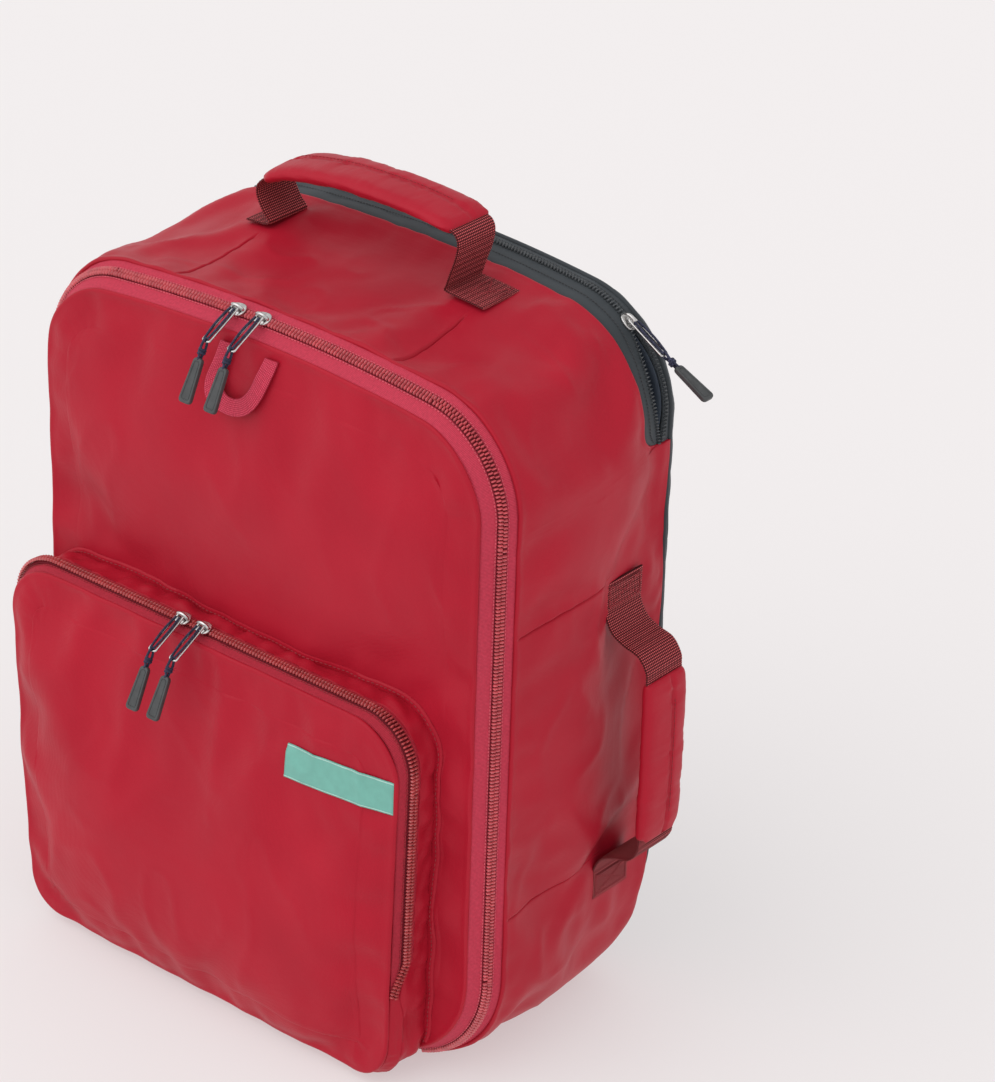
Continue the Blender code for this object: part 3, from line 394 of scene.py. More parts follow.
def woven(name, base, fleck_and_crown_highlight, mortar, rib, thread, roughness=0.75, sheen=0.15, strength=0.8):
    """Webbing or tape: ribs across it, crossed by finer threads along it. Its colour is painted darker in the
    grooves as shade, and paler on the crossings, partly pale flecks of thread and partly painted highlight.
    """
    material, shader = start_material(name, roughness, sheen=sheen, tint=shade(fleck_and_crown_highlight, 1.2), specular=0.25)
    place = metre_map(material)
    ribs = threads(material, place, "X", rib)
    knots = maths(material, "MULTIPLY", ribs, threads(material, place, "Y", thread))
    # Painted shade in the grooves; pale flecks with painted highlight on the crossings.
    tones = ramp(material, knots, ((0.05, mortar), (0.30, base), (0.85, fleck_and_crown_highlight)))
    wear = greys(material, grain(material, place, 500.0), (0.3, 0.88), (0.7, 1.08))
    link(material, multiplied(material, tones, wear), shader, "Base Color")
    bump(material, shader, knots, strength, rib * 0.30)
    return material


def spacer_mesh(name, colour, pitch=0.0028):
    """Knitted spacer mesh: rows of small holes in a soft dark face, the holes painted near black as shade and
    the strands between them paler.
    """
    material, shader = start_material(name, 0.85, sheen=0.35, tint=(0.5, 0.5, 0.55))
    place = object_place(material)
    cells = linked(material, "ShaderNodeTexVoronoi", Vector=place, Scale=1.0 / pitch, Randomness=0.25)
    near = cells.outputs["Distance"]
    # Painted shade in the holes.
    holes = ramp(material, near, ((0.20, shade(colour, 0.25)), (0.45, colour), (0.80, shade(colour, 1.7))))
    link(material, holes, shader, "Base Color")
    bump(material, shader, near, 0.8, 0.0006)
    return material


def metal(name, colour, roughness):
    material, shader = start_material(name, roughness, metallic=1.0)
    place = object_place(material)
    tones = ramp(material, grain(material, place, 350.0), ((0.35, shade(colour, 0.75)), (0.65, colour)))
    link(material, tones, shader, "Base Color")
    fine = grain(material, place, 900.0, 4.0)
    gloss = greys(material, fine, (0.3, roughness * 0.6), (0.7, roughness * 1.5))
    link(material, gloss, shader, "Roughness")
    bump(material, shader, grain(material, place, 1800.0), 0.15, 0.0001)
    return material


def moulded(name, colour, roughness, coat=0.0, scale=1500.0, strength=0.3, spread=0.17):
    """Rubber, plastic or film with a fine moulded grain, paler where it is rubbed."""
    material, shader = start_material(name, roughness, coat=coat)
    place = object_place(material)
    tones = ((0.35, shade(colour, 1 - spread)), (0.70, shade(colour, 1 + spread)))
    link(material, ramp(material, grain(material, place, 160.0, 4.0), tones), shader, "Base Color")
    bump(material, shader, grain(material, place, scale), strength, 0.00012)
    return material


def braid(name, dark, light, pitch=0.0012):
    """A braided cord, with the gaps between its strands painted dark as shade. Its UV map is in metres along,
    and in turns round it.
    """
    material, shader = start_material(name, 0.7, sheen=0.3, tint=light)
    place = metre_map(material)
    cells = linked(
        material,
        "ShaderNodeTexBrick",
        Vector=place,
        Color1=(*dark, 1.0),
        Color2=(*light, 1.0),
        # the gaps between strands: painted shade
        Mortar=(*shade(dark, 0.3), 1.0),
        Scale=1.0,
        Mortar_Size=pitch * 0.12,
        Bias=-0.4,
        Brick_Width=pitch,
        Row_Height=0.25,
    )
    link(material, cells.outputs["Color"], shader, "Base Color")
    bump(material, shader, maths(material, "SUBTRACT", 1.0, cells.outputs["Fac"]), 0.8, 0.0003)
    return material


RED = nylon("red_nylon", (0.425, 0.009, 0.026), roughness=0.43, sheen=0.03, spread=0.06)
DARK = nylon("dark_nylon", (0.045, 0.052, 0.058), 0.55, sheen=0.2, tint=(0.6, 0.65, 0.7))
LINING = nylon("lining", (0.060, 0.075, 0.100), 0.55, sheen=0.15, tint=(0.6, 0.7, 0.9))
# Woven looks: base, pale fleck with painted highlight on the crossings, painted groove shade, then rib and
# thread pitch.
TAPE = woven(
    "coral_tape", (0.56, 0.040, 0.080), (0.68, 0.085, 0.135), (0.46, 0.025, 0.055),
    0.0010, 0.0008, strength=0.4,
)
POCKET_TAPE = woven(
    "red_tape", (0.42, 0.020, 0.042), (0.52, 0.042, 0.072), (0.34, 0.012, 0.028),
    0.0010, 0.0008, strength=0.4,
)
WEBBING = woven(
    "maroon_webbing", (0.250, 0.012, 0.018), (0.84, 0.170, 0.180), (0.050, 0.002, 0.004),
    0.0017, 0.0017, sheen=0.0,
)
BLACK_WEB = woven(
    "black_webbing", (0.022, 0.024, 0.028), (0.050, 0.052, 0.058), (0.008, 0.008, 0.009),
    0.0016, 0.0013,
)
LOOP_WEB = woven(
    "coral_ribbon", (0.58, 0.040, 0.085), (0.80, 0.120, 0.190), (0.44, 0.020, 0.050),
    0.0013, 0.0012, strength=0.5,
)
# The main zip's teeth: their own dark red lifted to a pale coral, a painted highlight standing for the glints
# on them.
TEETH = moulded("coral_teeth_painted_glints", (0.64, 0.110, 0.130), 0.25, coat=0.8)
# A near-black red for the strip under the teeth: painted shade beneath and between them.
TEETH_SHADE = nylon("zip_teeth_shade", (0.130, 0.004, 0.010), 0.6, sheen=0.0)
POCKET_TEETH = moulded("red_teeth", (0.50, 0.070, 0.075), 0.25, coat=0.8)
DARK_TEETH = moulded("dark_teeth", (0.050, 0.056, 0.062), 0.35, coat=0.3)
THREAD = moulded("red_thread", (0.30, 0.012, 0.022), 0.6)
PALE_THREAD = moulded("coral_thread", (0.66, 0.090, 0.130), 0.6)
DARK_THREAD = moulded("dark_thread", (0.030, 0.033, 0.037), 0.6)
SPACER = spacer_mesh("spacer_mesh", (0.045, 0.048, 0.053))
NICKEL = metal("nickel", (0.66, 0.65, 0.64), 0.22)
RUBBER = moulded("grey_rubber", (0.050, 0.054, 0.056), 0.48)
PLASTIC = moulded("black_acetal", (0.016, 0.016, 0.018), 0.38)
LABEL = moulded("label_film", (0.150, 0.420, 0.350), 0.40, coat=0.2, strength=0.1, spread=0.05)
LABEL_EDGE = moulded("label_edge", (0.38, 0.62, 0.55), 0.5)
NAVY_CORD = braid("navy_cord", (0.014, 0.017, 0.048), (0.075, 0.080, 0.160))


# ---------------------------------------------------------------- building blocks
BAG_CORE = Vector((0, 0, 0.25))


def build(name, points, faces, material, uv=None):
    """An object with smooth shading, but for creases over 60 degrees."""
    mesh = bpy.data.meshes.new(name)
    mesh.from_pydata([tuple(p) for p in points], [], faces)
    if uv is not None:
        layer = mesh.uv_layers.new(name="UVMap")
        corners = np.zeros(len(mesh.loops), int)
        mesh.loops.foreach_get("vertex_index", corners)
        layer.data.foreach_set("uv", np.asarray(uv, np.float32)[corners].ravel())
    mesh.shade_smooth()
    mesh.set_sharp_from_angle(angle=radians(60))
    mesh.materials.append(material)
    obj = bpy.data.objects.new(name, mesh)
    bpy.context.scene.collection.objects.link(obj)
    return obj


def thicken(obj, thick, inside=None):
    """Gives a sheet its thickness inwards, with its own material on the inside."""
    if inside:
        obj.data.materials.append(inside)
    solid = obj.modifiers.new("thickness", "SOLIDIFY")
    solid.thickness = thick
    solid.offset = -1.0
    solid.material_offset = 1 if inside else 0
    return obj


def grid_faces(rows, columns, closed=False):
    """The faces of a grid of points, row by row. A closed grid joins its last column to its first."""
    faces = []
    for i in range(rows - 1):
        for j in range(columns if closed else columns - 1):
            k = (j + 1) % columns
            faces.append((i * columns + j, (i + 1) * columns + j, (i + 1) * columns + k, i * columns + k))
    return faces


def body_faces(rows, columns):
    """The faces of a closed grid with its two ends capped."""
    first, last = range(columns), range((rows - 1) * columns, rows * columns)
    return [*grid_faces(rows, columns, closed=True), tuple(first), tuple(reversed(last))]


def grid_normals(grid, closed=False):
    """Unit normals of a grid of points, shaped (rows, columns, 3)."""
    down = np.gradient(grid, axis=0)
    if closed:
        along = np.roll(grid, -1, axis=1) - np.roll(grid, 1, axis=1)
    else:
        along = np.gradient(grid, axis=1)
    normal = np.cross(down, along)
    return normal / np.maximum(np.linalg.norm(normal, axis=2, keepdims=True), 1e-12)


def grid_object(name, grid, material, height=None, closed=False, core=BAG_CORE):
    """A sheet through rows of points, facing away from the core and pushed out along its normals by height."""
    grid = np.array(grid)
    rows, columns = grid.shape[:2]
    if height is not None:
        normals = grid_normals(grid, closed)
        away = (normals * (grid - np.array(core))).sum(axis=2).sum()
        grid = grid + normals * (np.array(height) * (1.0 if away > 0 else -1.0))[:, :, None]
    return turn_out(build(name, grid.reshape(-1, 3), grid_faces(rows, columns, closed), material), core)


def panel_grid(seam, edge, pitch):
    """A filled panel: rings drawn in from its seam, then a four-sided patch.

    edge lists each ring's inset and rise, and seam(s, inset) gives the (x, z) of a station. Returns
    flat lists: the (x, z) points, their distance in from the seam, their run along it and their rise,
    and then the faces.
    """
    corners = (5.0, 16.0, 28.0, 39.0, 49.0)
    tall = max(8, round(even_stations(5, 16, pitch, seam)[1][-1] / pitch))
    wide = max(8, round(even_stations(16, 28, pitch, seam)[1][-1] / pitch))
    spans, runs, start = [], [], 0.0
    for a, b, count in zip(corners, corners[1:], (tall, wide, tall, wide)):
        stations, run = even_stations(a, b, pitch, seam)
        even = np.linspace(0, run[-1], count + 1)
        spans += list(np.interp(even, run, stations))[:-1]
        runs += list(start + even)[:-1]
        start += run[-1]
    columns = len(spans)
    points, distance, along, rises = [], [], [], []
    for inset, rise in edge:
        for s, run in zip(spans, runs):
            points.append(seam(s, inset))
            distance.append(inset)
            along.append(run)
            rises.append(rise)
    faces = grid_faces(len(edge), columns, closed=True)
    last = (len(edge) - 1) * columns
    ring = [np.array(p) for p in points[last:]]

    index = np.zeros((tall + 1, wide + 1), int)
    for j in range(tall + 1):
        index[j, 0] = last + j
        index[j, wide] = last + tall + wide + tall - j
    for i in range(wide + 1):
        index[tall, i] = last + tall + i
        index[0, i] = last + (2 * tall + 2 * wide - i) % columns
    a, b, c, d = ring[0], ring[tall], ring[tall + wide], ring[2 * tall + wide]
    for j in range(1, tall):
        v = j / tall
        right, left = ring[j], ring[2 * tall + wide - j]
        for i in range(1, wide):
            u = i / wide
            upper, lower = ring[tall + i], ring[(2 * tall + 2 * wide - i) % columns]
            corner = (1 - u) * (1 - v) * a + (1 - u) * v * b + u * v * c + u * (1 - v) * d
            place = (1 - u) * right + u * left + (1 - v) * lower + v * upper - corner
            index[j, i] = len(points)
            points.append(tuple(place))
            distance.append(edge[-1][0] + 0.5 * pitch * min(i, wide - i, j, tall - j))
            along.append(0.0)
            rises.append(edge[-1][1])
    for j in range(tall):
        for i in range(wide):
            faces.append((index[j, i], index[j + 1, i], index[j + 1, i + 1], index[j, i + 1]))
    return points, distance, along, rises, [tuple(int(k) for k in face) for face in faces]


def frames_along(points, across):
    """Position, direction, width and normal at each point of a path, as arrays.

    across is a vector, or across(k) gives one, and the width is the part of it that is square to the path.
    """
    places = np.array([tuple(p) for p in points])
    ahead = np.gradient(places, axis=0)
    ahead /= np.linalg.norm(ahead, axis=1, keepdims=True)
    if callable(across):
        wide = np.array([tuple(across(k)) for k in range(len(places))])
    else:
        wide = np.array([tuple(across)] * len(places))
    wide = wide - ahead * (wide * ahead).sum(axis=1, keepdims=True)
    wide /= np.linalg.norm(wide, axis=1, keepdims=True)
    return places, ahead, wide, np.cross(ahead, wide)


def smooth_path(points, step):
    """The path through these points, rounded and evenly spaced."""
    places = [Vector(p) for p in points]
    fine = []
    for k in range(len(places) - 1):
        p0, p1, p2, p3 = (places[min(max(k + d, 0), len(places) - 1)] for d in (-1, 0, 1, 2))
        for t in np.linspace(0, 1, 24, endpoint=False):
            a, b = 2 * p1, p2 - p0
            c, d = 2 * p0 - 5 * p1 + 4 * p2 - p3, 3 * p1 - p0 - 3 * p2 + p3
            fine.append(0.5 * (a + b * t + c * t * t + d * t**3))
    fine.append(places[-1])
    array = np.array([tuple(p) for p in fine])
    run = run_along(array)
    runs = np.linspace(0, run[-1], max(2, round(run[-1] / step)) + 1)
    return [Vector([float(np.interp(r, run, array[:, k])) for k in range(3)]) for r in runs]


def belt(name, path, across, width, thick, material, crown=0.0, rib=0.0):
    """Flat webbing with rounded edges along a path. Its UV map runs along it, then across, in metres."""
    places, _ahead, wide, up = frames_along(path, across)
    run = run_along(places)
    profile = []
    for share in (-1.0, -0.97, -0.85, -0.5, 0.0, 0.5, 0.85, 0.97, 1.0):
        edge = 0.35 if abs(share) == 1.0 else 0.85 if abs(share) > 0.96 else 1.0
        profile.append((share * width / 2, thick / 2 * edge + crown * (1 - share**2)))
    profile += [(a, crown * (1 - (2 * a / width) ** 2) * 2 - b) for a, b in reversed(profile)]
    count = len(profile)
    points, uv = [], []
    for k in range(len(places)):
        lift = rib * (1 if k % 2 else -1)
        for j, (a, b) in enumerate(profile):
            points.append(places[k] + wide[k] * a + up[k] * (b + (lift if 0 < j < count // 2 - 1 else 0.0)))
            uv.append((run[k], a + (0.1 if j >= count // 2 else 0.0)))
    return turn_out(build(name, points, body_faces(len(places), count), material, uv=uv))


def turn_out(obj, core=None):
    """Makes a body's faces look outwards, or those of an open sheet look away from a core point."""
    bm = bmesh.new()
    bm.from_mesh(obj.data)
    bmesh.ops.recalc_face_normals(bm, faces=bm.faces[:])
    if core is not None:
        facing = sum(f.normal.dot(f.calc_center_median() - core) * f.calc_area() for f in bm.faces)
        if facing < 0:
            bmesh.ops.reverse_faces(bm, faces=bm.faces[:])
    bm.to_mesh(obj.data)
    bm.free()
    return obj


def tube(name, path, radius, material, sides=10, closed=False):
    """A round cord or wire along a path, with its UV map in metres along and turns round."""
    places = np.array([tuple(p) for p in path])
    if closed:
        ahead = np.roll(places, -1, axis=0) - np.roll(places, 1, axis=0)
    else:
        ahead = np.gradient(places, axis=0)
    ahead /= np.linalg.norm(ahead, axis=1, keepdims=True)
    run = run_along(places)
    side = Vector(ahead[0]).orthogonal().normalized()
    points, uv = [], []
    for k, place in enumerate(places):
        forward = Vector(ahead[k])
        side = (side - forward * side.dot(forward)).normalized()
        other = forward.cross(side)
        for j in range(sides):
            turn = 2 * pi * j / sides
            points.append(Vector(place) + radius * (side * cos(turn) + other * sin(turn)))
            uv.append((run[k] + 0.0006 * (j % 2), j / sides))
    rows = len(places)
    if closed:
        last = (rows - 1) * sides
        faces = grid_faces(rows, sides, closed=True)
        faces += [(last + j, j, (j + 1) % sides, last + (j + 1) % sides) for j in range(sides)]
    else:
        faces = body_faces(rows, sides)
    return turn_out(build(name, points, faces, material, uv=uv))


def repeated(name, template, places, along, across, up, material):
    """Copies of one small mesh, each on its own frame, as one object."""
    points, faces = template
    points = np.array(points)
    count = len(points)
    copies = places[:, None, :]
    for axis, way in enumerate((along, across, up)):
        copies = copies + way[:, None, :] * points[None, :, axis, None]
    all_faces = [tuple(k * count + v for v in face) for k in range(len(places)) for face in faces]
    return turn_out(build(name, copies.reshape(-1, 3), all_faces, material))


def lozenge(long, wide, high, steps=4):
    """A small rounded bar, long along X and domed along Z, for a tooth or a stitch."""
    points, faces = [], []
    profile = [(cos(pi * k / steps), sin(pi * k / steps)) for k in range(steps + 1)]
    stations = ((-0.5, 0.55), (-0.32, 1.0), (0.32, 1.0), (0.5, 0.55))
    for share, fat in stations:
        points += [(share * long, wide / 2 * c * fat, high * s * fat) for c, s in profile]
    count = len(profile)
    for i in range(len(stations) - 1):
        for j in range(count - 1):
            a = i * count + j
            faces.append((a, a + 1, a + 1 + count, a + count))
        faces.append((i * count, (i + 1) * count, (i + 2) * count - 1, (i + 1) * count - 1))
    faces.append(tuple(range(count)))
    faces.append(tuple(reversed([(len(stations) - 1) * count + k for k in range(count)])))
    return points, faces


def stitches(name, path, normal, material, pitch=0.0034):
    """A row of stitches along a path, facing along the normal."""
    places, ahead, up, _wide = frames_along(smooth_path(path, pitch), normal)
    return repeated(name, lozenge(0.0024, 0.0007, 0.0005), places, ahead, np.cross(up, ahead), up, material)


def ride_all(body, slot, *objects):
    for obj in objects:
        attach(obj, body)


# ---------------------------------------------------------------- how the sewn panels slacken
CLOTH_FRAMES = 20


def make_cloth(obj, held, quality, stiffness, bending, pressure, gravity=0.0):
    """Makes the object a cloth with pressure behind it, sewn down at its held points."""
    group = obj.vertex_groups.new(name="sewn")
    group.add(held, 1.0, "REPLACE")
    cloth = obj.modifiers.new("cloth", "CLOTH")
    cloth.point_cache.frame_start, cloth.point_cache.frame_end = 1, CLOTH_FRAMES
    settings = cloth.settings
    settings.quality = quality
    settings.mass = 0.15
    settings.tension_stiffness = settings.compression_stiffness = stiffness
    settings.bending_stiffness = bending
    settings.use_pressure = True
    settings.uniform_pressure_force = pressure
    settings.effector_weights.gravity = gravity
    settings.vertex_group_mass = "sewn"
    return settings


def play_cloth():
    for number in range(1, CLOTH_FRAMES + 1):
        bpy.context.scene.frame_set(number)


def shaped_points(obj):
    """The object's points as its modifiers leave them."""
    evaluated = obj.evaluated_get(bpy.context.evaluated_depsgraph_get())
    shaped = evaluated.to_mesh()
    points = np.zeros(len(shaped.vertices) * 3, np.float32)
    shaped.vertices.foreach_get("co", points)
    evaluated.to_mesh_clear()
    return points.reshape(-1, 3).astype(float)


def settle(name, points, faces, pinned, cap, pressure, slack):
    """Simulates a sheet as cloth held by its pinned points, and returns how each point moved."""
    obj = build(name, points, faces, RED)
    held = [k for k, is_held in enumerate(pinned) if is_held]
    settings = make_cloth(obj, held, 7, 20, 0.35, pressure, gravity=0.12)
    settings.shear_stiffness = 8
    settings.shrink_min = -slack
    play_cloth()
    step = shaped_points(obj) - np.array([tuple(p) for p in points])
    bpy.context.scene.frame_set(1)
    mesh = obj.data
    bpy.data.objects.remove(obj, do_unlink=True)
    bpy.data.meshes.remove(mesh)
    far = np.linalg.norm(step, axis=1, keepdims=True)
    return step * (cap * np.tanh(far / cap) / np.maximum(far, 1e-9))


def carried(points, steps, reach):
    """A function that gives the simulated sheet's movement at any point near it."""
    tree = kdtree.KDTree(len(points))
    for k, point in enumerate(points):
        tree.insert(point, k)
    tree.balance()

    def shift(point):
        total, weight = np.zeros(3), 1e-9
        for _place, k, far in tree.find_n(point, 9):
            share = exp(-((far / reach) ** 2))
            total += steps[k] * share
            weight += share
        return Vector(total / weight)

    return shift


def still(_point):
    return Vector((0, 0, 0))


def slack_panel(name, seam, depth, pitch, held, cap, **cloth):
    """The way a panel slackens between its sewn edges."""
    edge = [(row * pitch, 0.0) for row in range(3)]
    flat, distance, _along, _rises, faces = panel_grid(seam, edge, pitch)
    points = [(x, depth(x, z), z) for x, z in flat]
    pinned = [d < pitch / 2 or held(x, z) for (x, z), d in zip(flat, distance)]
    return carried(points, settle(name, points, faces, pinned, cap, **cloth), pitch)


def slack_strip(name, rows, held, cap, reach, **cloth):
    """The same for a closed strip, sewn along its first and last rows."""
    count = len(rows[0])
    points = [tuple(p) for row in rows for p in row]
    last = len(points) - count
    pinned = [k < count or k >= last or held(Vector(p)) for k, p in enumerate(points)]
    faces = grid_faces(len(rows), count, closed=True)
    return carried(points, settle(name, points, faces, pinned, cap, **cloth), reach)


# ---------------------------------------------------------------- folds in sewn fabric
def seam_folds(run, distance, pitch, high, reach, seed):
    """Small folds that leave a seam: none on it, highest close by, and gone at reach."""
    if distance <= 0 or distance > 4 * reach:
        return 0.0
    slant = 0.25 * distance
    strong = noise.noise(Vector(((run + slant) / pitch, seed, 0.0)))
    patchy = 0.55 + 0.45 * noise.noise(Vector((run / (pitch * 9), seed + 5, 0.0)))
    return high * strong * patchy * (distance / reach) * exp(1 - distance / reach)


def crumple(x, y, z, high=0.0011):
    """Sharp little creases, in patches, as handled nylon keeps."""
    place = Vector((x, y, z))
    patch = ease(0.5 + 1.6 * noise.noise(place * 11.0 + Vector((3.0, 0.0, 0.0))))
    bent = place + 0.012 * noise.noise_vector(place * 16.0)
    ridge = 1 - abs(noise.noise(Vector((bent.x * 24, bent.y * 24, bent.z * 17))) * 2)
    return high * patch * max(0.0, ridge) ** 3


# A folded edge, from underneath it to the flat cloth: how far in from the seam, and how high.
EDGE = (
    (0.0034, -0.0044), (0.0018, -0.0030), (0.0008, -0.0014), (0.0001, -0.0004), (-0.0003, 0.0004),
    (-0.0002, 0.0013), (0.0006, 0.0020), (0.0016, 0.0021), (0.0028, 0.0018), (0.0045, 0.0014),
    (0.0065, 0.0012), (0.0090, 0.0011), (0.0120, 0.0010), (0.0155, 0.0010), (0.0195, 0.0010),
    (0.0240, 0.0010),
)


def make_panel(name, seam, depth, height, pitch, material, inside, thick, shift=still, out=-1.0):
    """A sewn panel with folded edges. out is the way it faces along Y."""
    flat, distance, along, rises, faces = panel_grid(seam, EDGE, pitch)
    points = []
    for (x, z), d, run, rise in zip(flat, distance, along, rises):
        y = depth(x, z)
        points.append(Vector((x, y + out * (rise + height(x, z, d, run)), z)) + shift(Vector((x, y, z))))
    obj = turn_out(build(name, points, faces, material), BAG_CORE)
    return thicken(obj, thick, inside)


# ---------------------------------------------------------------- front cover
def cover_height(x, z, distance, run):
    """How far the cover's cloth stands off its plain surface."""
    broad = 0.0022 * ripple(x, 0, z, 0.16, 3.0) + 0.0011 * ripple(x, 0, z * 0.6, 0.060, 7.0)
    high = broad * ease(distance / 0.05) + crumple(x, 0.0, z) * ease(distance / 0.02)
    high += seam_folds(run, distance, 0.030, 0.0022, 0.022, 21.0)
    return high + seam_folds(run, distance, 0.012, 0.0014, 0.008, 1.0)


def behind_pocket(x, z):
    """The cover is flat where the pocket is sewn to it."""
    left, right, _bottom, top, _y = POCKET_BASE
    return left + 0.004 < x < right - 0.004 and z < top - 0.006


cover_shift = slack_panel(
    "cover_sheet", cover_seam, cover_y, 0.009, behind_pocket, 0.0068, pressure=0.30, slack=0.027
)
cover_cloth = make_panel(
    "cover_cloth", cover_seam, cover_y, cover_height, 0.0036, RED, LINING, 0.0026, cover_shift
)
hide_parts("cover_panel")
ride_all("cover", "red", cover_cloth)


# ---------------------------------------------------------------- sides, top and base, one sheet all round
def side_seams():
    """Stations of the sewn lines across the sides and the top, and how far back each one runs."""
    lines = []
    for x in (0.095, -0.095):
        lines.append((station_of(x, 0, lambda s: bag_point(s, SEAM_Y), 19.0, 25.0), 0.010))
    for z in (0.350, 0.136):
        right = station_of(-z, 2, lambda s: -bag_point(s, SEAM_Y), 8.0, 13.0)
        lines += [(right, 0.026), (STATIONS - right, 0.088)]
    return lines


SIDE_SEAMS = side_seams()
EVEN_STATIONS, EVEN_RUNS = even_stations(0, STATIONS, 0.0034, lambda s: bag_point(s, SEAM_Y))


def run_at(s):
    """How far round the bag a station is, in metres."""
    return float(np.interp(s % STATIONS, EVEN_STATIONS, EVEN_RUNS))


def band_front_y(s):
    """The band's front edge, which rounds back to a tip at each end."""
    low = min(s, STATIONS - s) - BAND_END
    over = 1 - min(1.0, max(0.0, low / 0.9))
    return mix(BAND_Y, 0.0885, 1 - sqrt(max(0.0, 1 - over**2)))


def rear_edge(s):
    """Where the red side ends: at the back's piping, or at the dark band."""
    wavy = 0.0009 * noise.noise(Vector((run_at(s) / 0.013, 11.0, 0.0)))
    return band_front_y(s) + wavy if BAND_END < s < STATIONS - BAND_END else BACK_SEAM_Y - 0.0003


side_columns = set(EVEN_STATIONS[:-1])
for seam_station, _end in SIDE_SEAMS:
    for away in (-0.0024, -0.0012, -0.0005, 0.0, 0.0005, 0.0012, 0.0024):
        side_columns.add(float(np.interp(run_at(seam_station) + away, EVEN_RUNS, EVEN_STATIONS)))
for step in np.linspace(-0.05, 0.6, 27):
    side_columns |= {BAND_END + step, STATIONS - BAND_END - step}
side_columns = sorted(side_columns)


def anchor_distance(point):
    """How far a point of the side is from the nearest sewn end of a handle."""
    near = 1.0
    half = WEB_WIDE / 2
    for middle, reach in TOP_ANCHORS:
        if point.z > 0.4:
            away = max(abs(point.x - middle) - reach, abs(point.y - TOP_HANDLE_Y) - half)
            near = min(near, max(0.0, away))
    for middle, reach in SIDE_ANCHORS:
        if point.x > 0.15:
            away = max(abs(point.z - middle) - reach, abs(point.y - SIDE_HANDLE_Y) - half)
            near = min(near, max(0.0, away))
    return near


def side_height(s, y, edge):
    """How far the side's cloth stands off its plain surface. edge is the depth where it ends."""
    point = bag_point(s, y)
    run = run_at(s)
    front, rear = y - SEAM_Y, edge - y
    broad = 0.0020 * ripple(point.x, y, point.z, 0.120, 2.0)
    broad += 0.0011 * ripple(point.x, y * 0.7, point.z, 0.048, 9.0)
    high = broad * ease(front / 0.04) * ease(rear / 0.03)
    high += crumple(point.x, y + 0.7, point.z, 0.0014) * ease(front / 0.02) * ease(rear / 0.02)
    high += seam_folds(run, front, 0.014, 0.0015, 0.010, 4.0)
    high += seam_folds(run, front, 0.032, 0.0030, 0.026, 24.0)
    high += seam_folds(run, rear, 0.012, 0.0013, 0.008, 5.0)
    high += seam_folds(run, rear, 0.028, 0.0024, 0.022, 25.0)
    for station, end in SIDE_SEAMS:
        away = run - run_at(station)
        if abs(away) < 0.06:
            fade = ease((end + 0.006 - y) / 0.012) * ease(front / 0.006)
            high -= fade * 0.0015 * exp(-((away / 0.0009) ** 2))
            high += fade * 0.0012 * exp(-abs(away) / 0.012) * (1.0 if away > 0 else 0.35)
            high += fade * 0.0012 * noise.noise(Vector((y / 0.011, station, 0))) * exp(-abs(away) / 0.009)
    return high * ease(anchor_distance(point) / 0.016)


def sewn_down(point):
    """Where the side is held flat: under the handles' ends, and on the floor."""
    return point.z < 0.004 or anchor_distance(point) < 0.004


sheet_stations, _runs = even_stations(0, STATIONS, 0.008, lambda s: bag_point(s, SEAM_Y))
sheet_rows = []
for t in np.linspace(0, 1, 20):
    sheet_rows.append([tuple(bag_point(s, mix(SEAM_Y, rear_edge(s), t))) for s in sheet_stations[:-1]])
side_shift = slack_strip("side_sheet", sheet_rows, sewn_down, 0.0085, 0.008, pressure=0.10, slack=0.040)

side_rows = [[(SEAM_Y + inset, rise)] * len(side_columns) for inset, rise in EDGE[:-2]]
for t in np.linspace(0, 1, 44):
    side_rows.append([(mix(SEAM_Y + 0.019, rear_edge(s) - 0.012, t), 0.0010) for s in side_columns])
for inset, rise in reversed(EDGE[:-4]):
    side_rows.append([(rear_edge(s) - inset, rise) for s in side_columns])
side_points = []
side_edges = [rear_edge(s) for s in side_columns]
for row in side_rows:
    for s, edge, (y, rise) in zip(side_columns, side_edges, row):
        place = bag_point(s, y)
        out = place + side_normal(s, y) * (rise + side_height(s, y, edge)) + side_shift(place)
        side_points.append(Vector((out.x, out.y, max(out.z, FLOOR_GAP))))
side_faces = grid_faces(len(side_rows), len(side_columns), closed=True)
side_cloth = build("side_cloth", side_points, side_faces, RED)
thicken(turn_out(side_cloth, BAG_CORE), 0.0022, LINING)
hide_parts("main_gusset", "rear_gusset")
ride_all("shell", "red", side_cloth)

# ---------------------------------------------------------------- main zip
BEVEL_LONG = (zip_point(10, 1) - zip_point(10, 0)).length


def strip_frame(point, s, t):
    """Position, direction, inward direction and outward normal on a strip at (s, t)."""
    place = point(s, t)
    along = (point(s - 0.05, t) - point(s + 0.05, t)).normalized()
    inward = (point(s, t + 0.05) - point(s, t - 0.05)).normalized()
    return place, along, inward, inward.cross(along).normalized()


def zip_tape(name, run, t_from, t_to, long, material, rise=0.0, core=BAG_CORE):
    """A woven zip tape between two values of t, long metres apart, with a slight wave along it.

    run is a zip's strip, its first and last stations, and the sign that turns its normal outwards.
    """
    point, start, end, outward = run
    stations, runs = even_stations(start, end, 0.0035, lambda s: point(s, t_from))
    shares = np.linspace(0, 1, 7)
    points, uv = [], []
    for share in shares:
        for s, along in zip(stations, runs):
            place, _along, _inward, normal = strip_frame(point, s, mix(t_from, t_to, share))
            wave = 0.00025 * noise.noise(Vector((along / 0.010, share * 2, 3.0)))
            points.append(place + normal * outward * (rise + wave))
            uv.append((along, share * long))
    faces = grid_faces(len(shares), len(stations))
    return thicken(turn_out(build(name, points, faces, material, uv=uv), core), 0.0009)


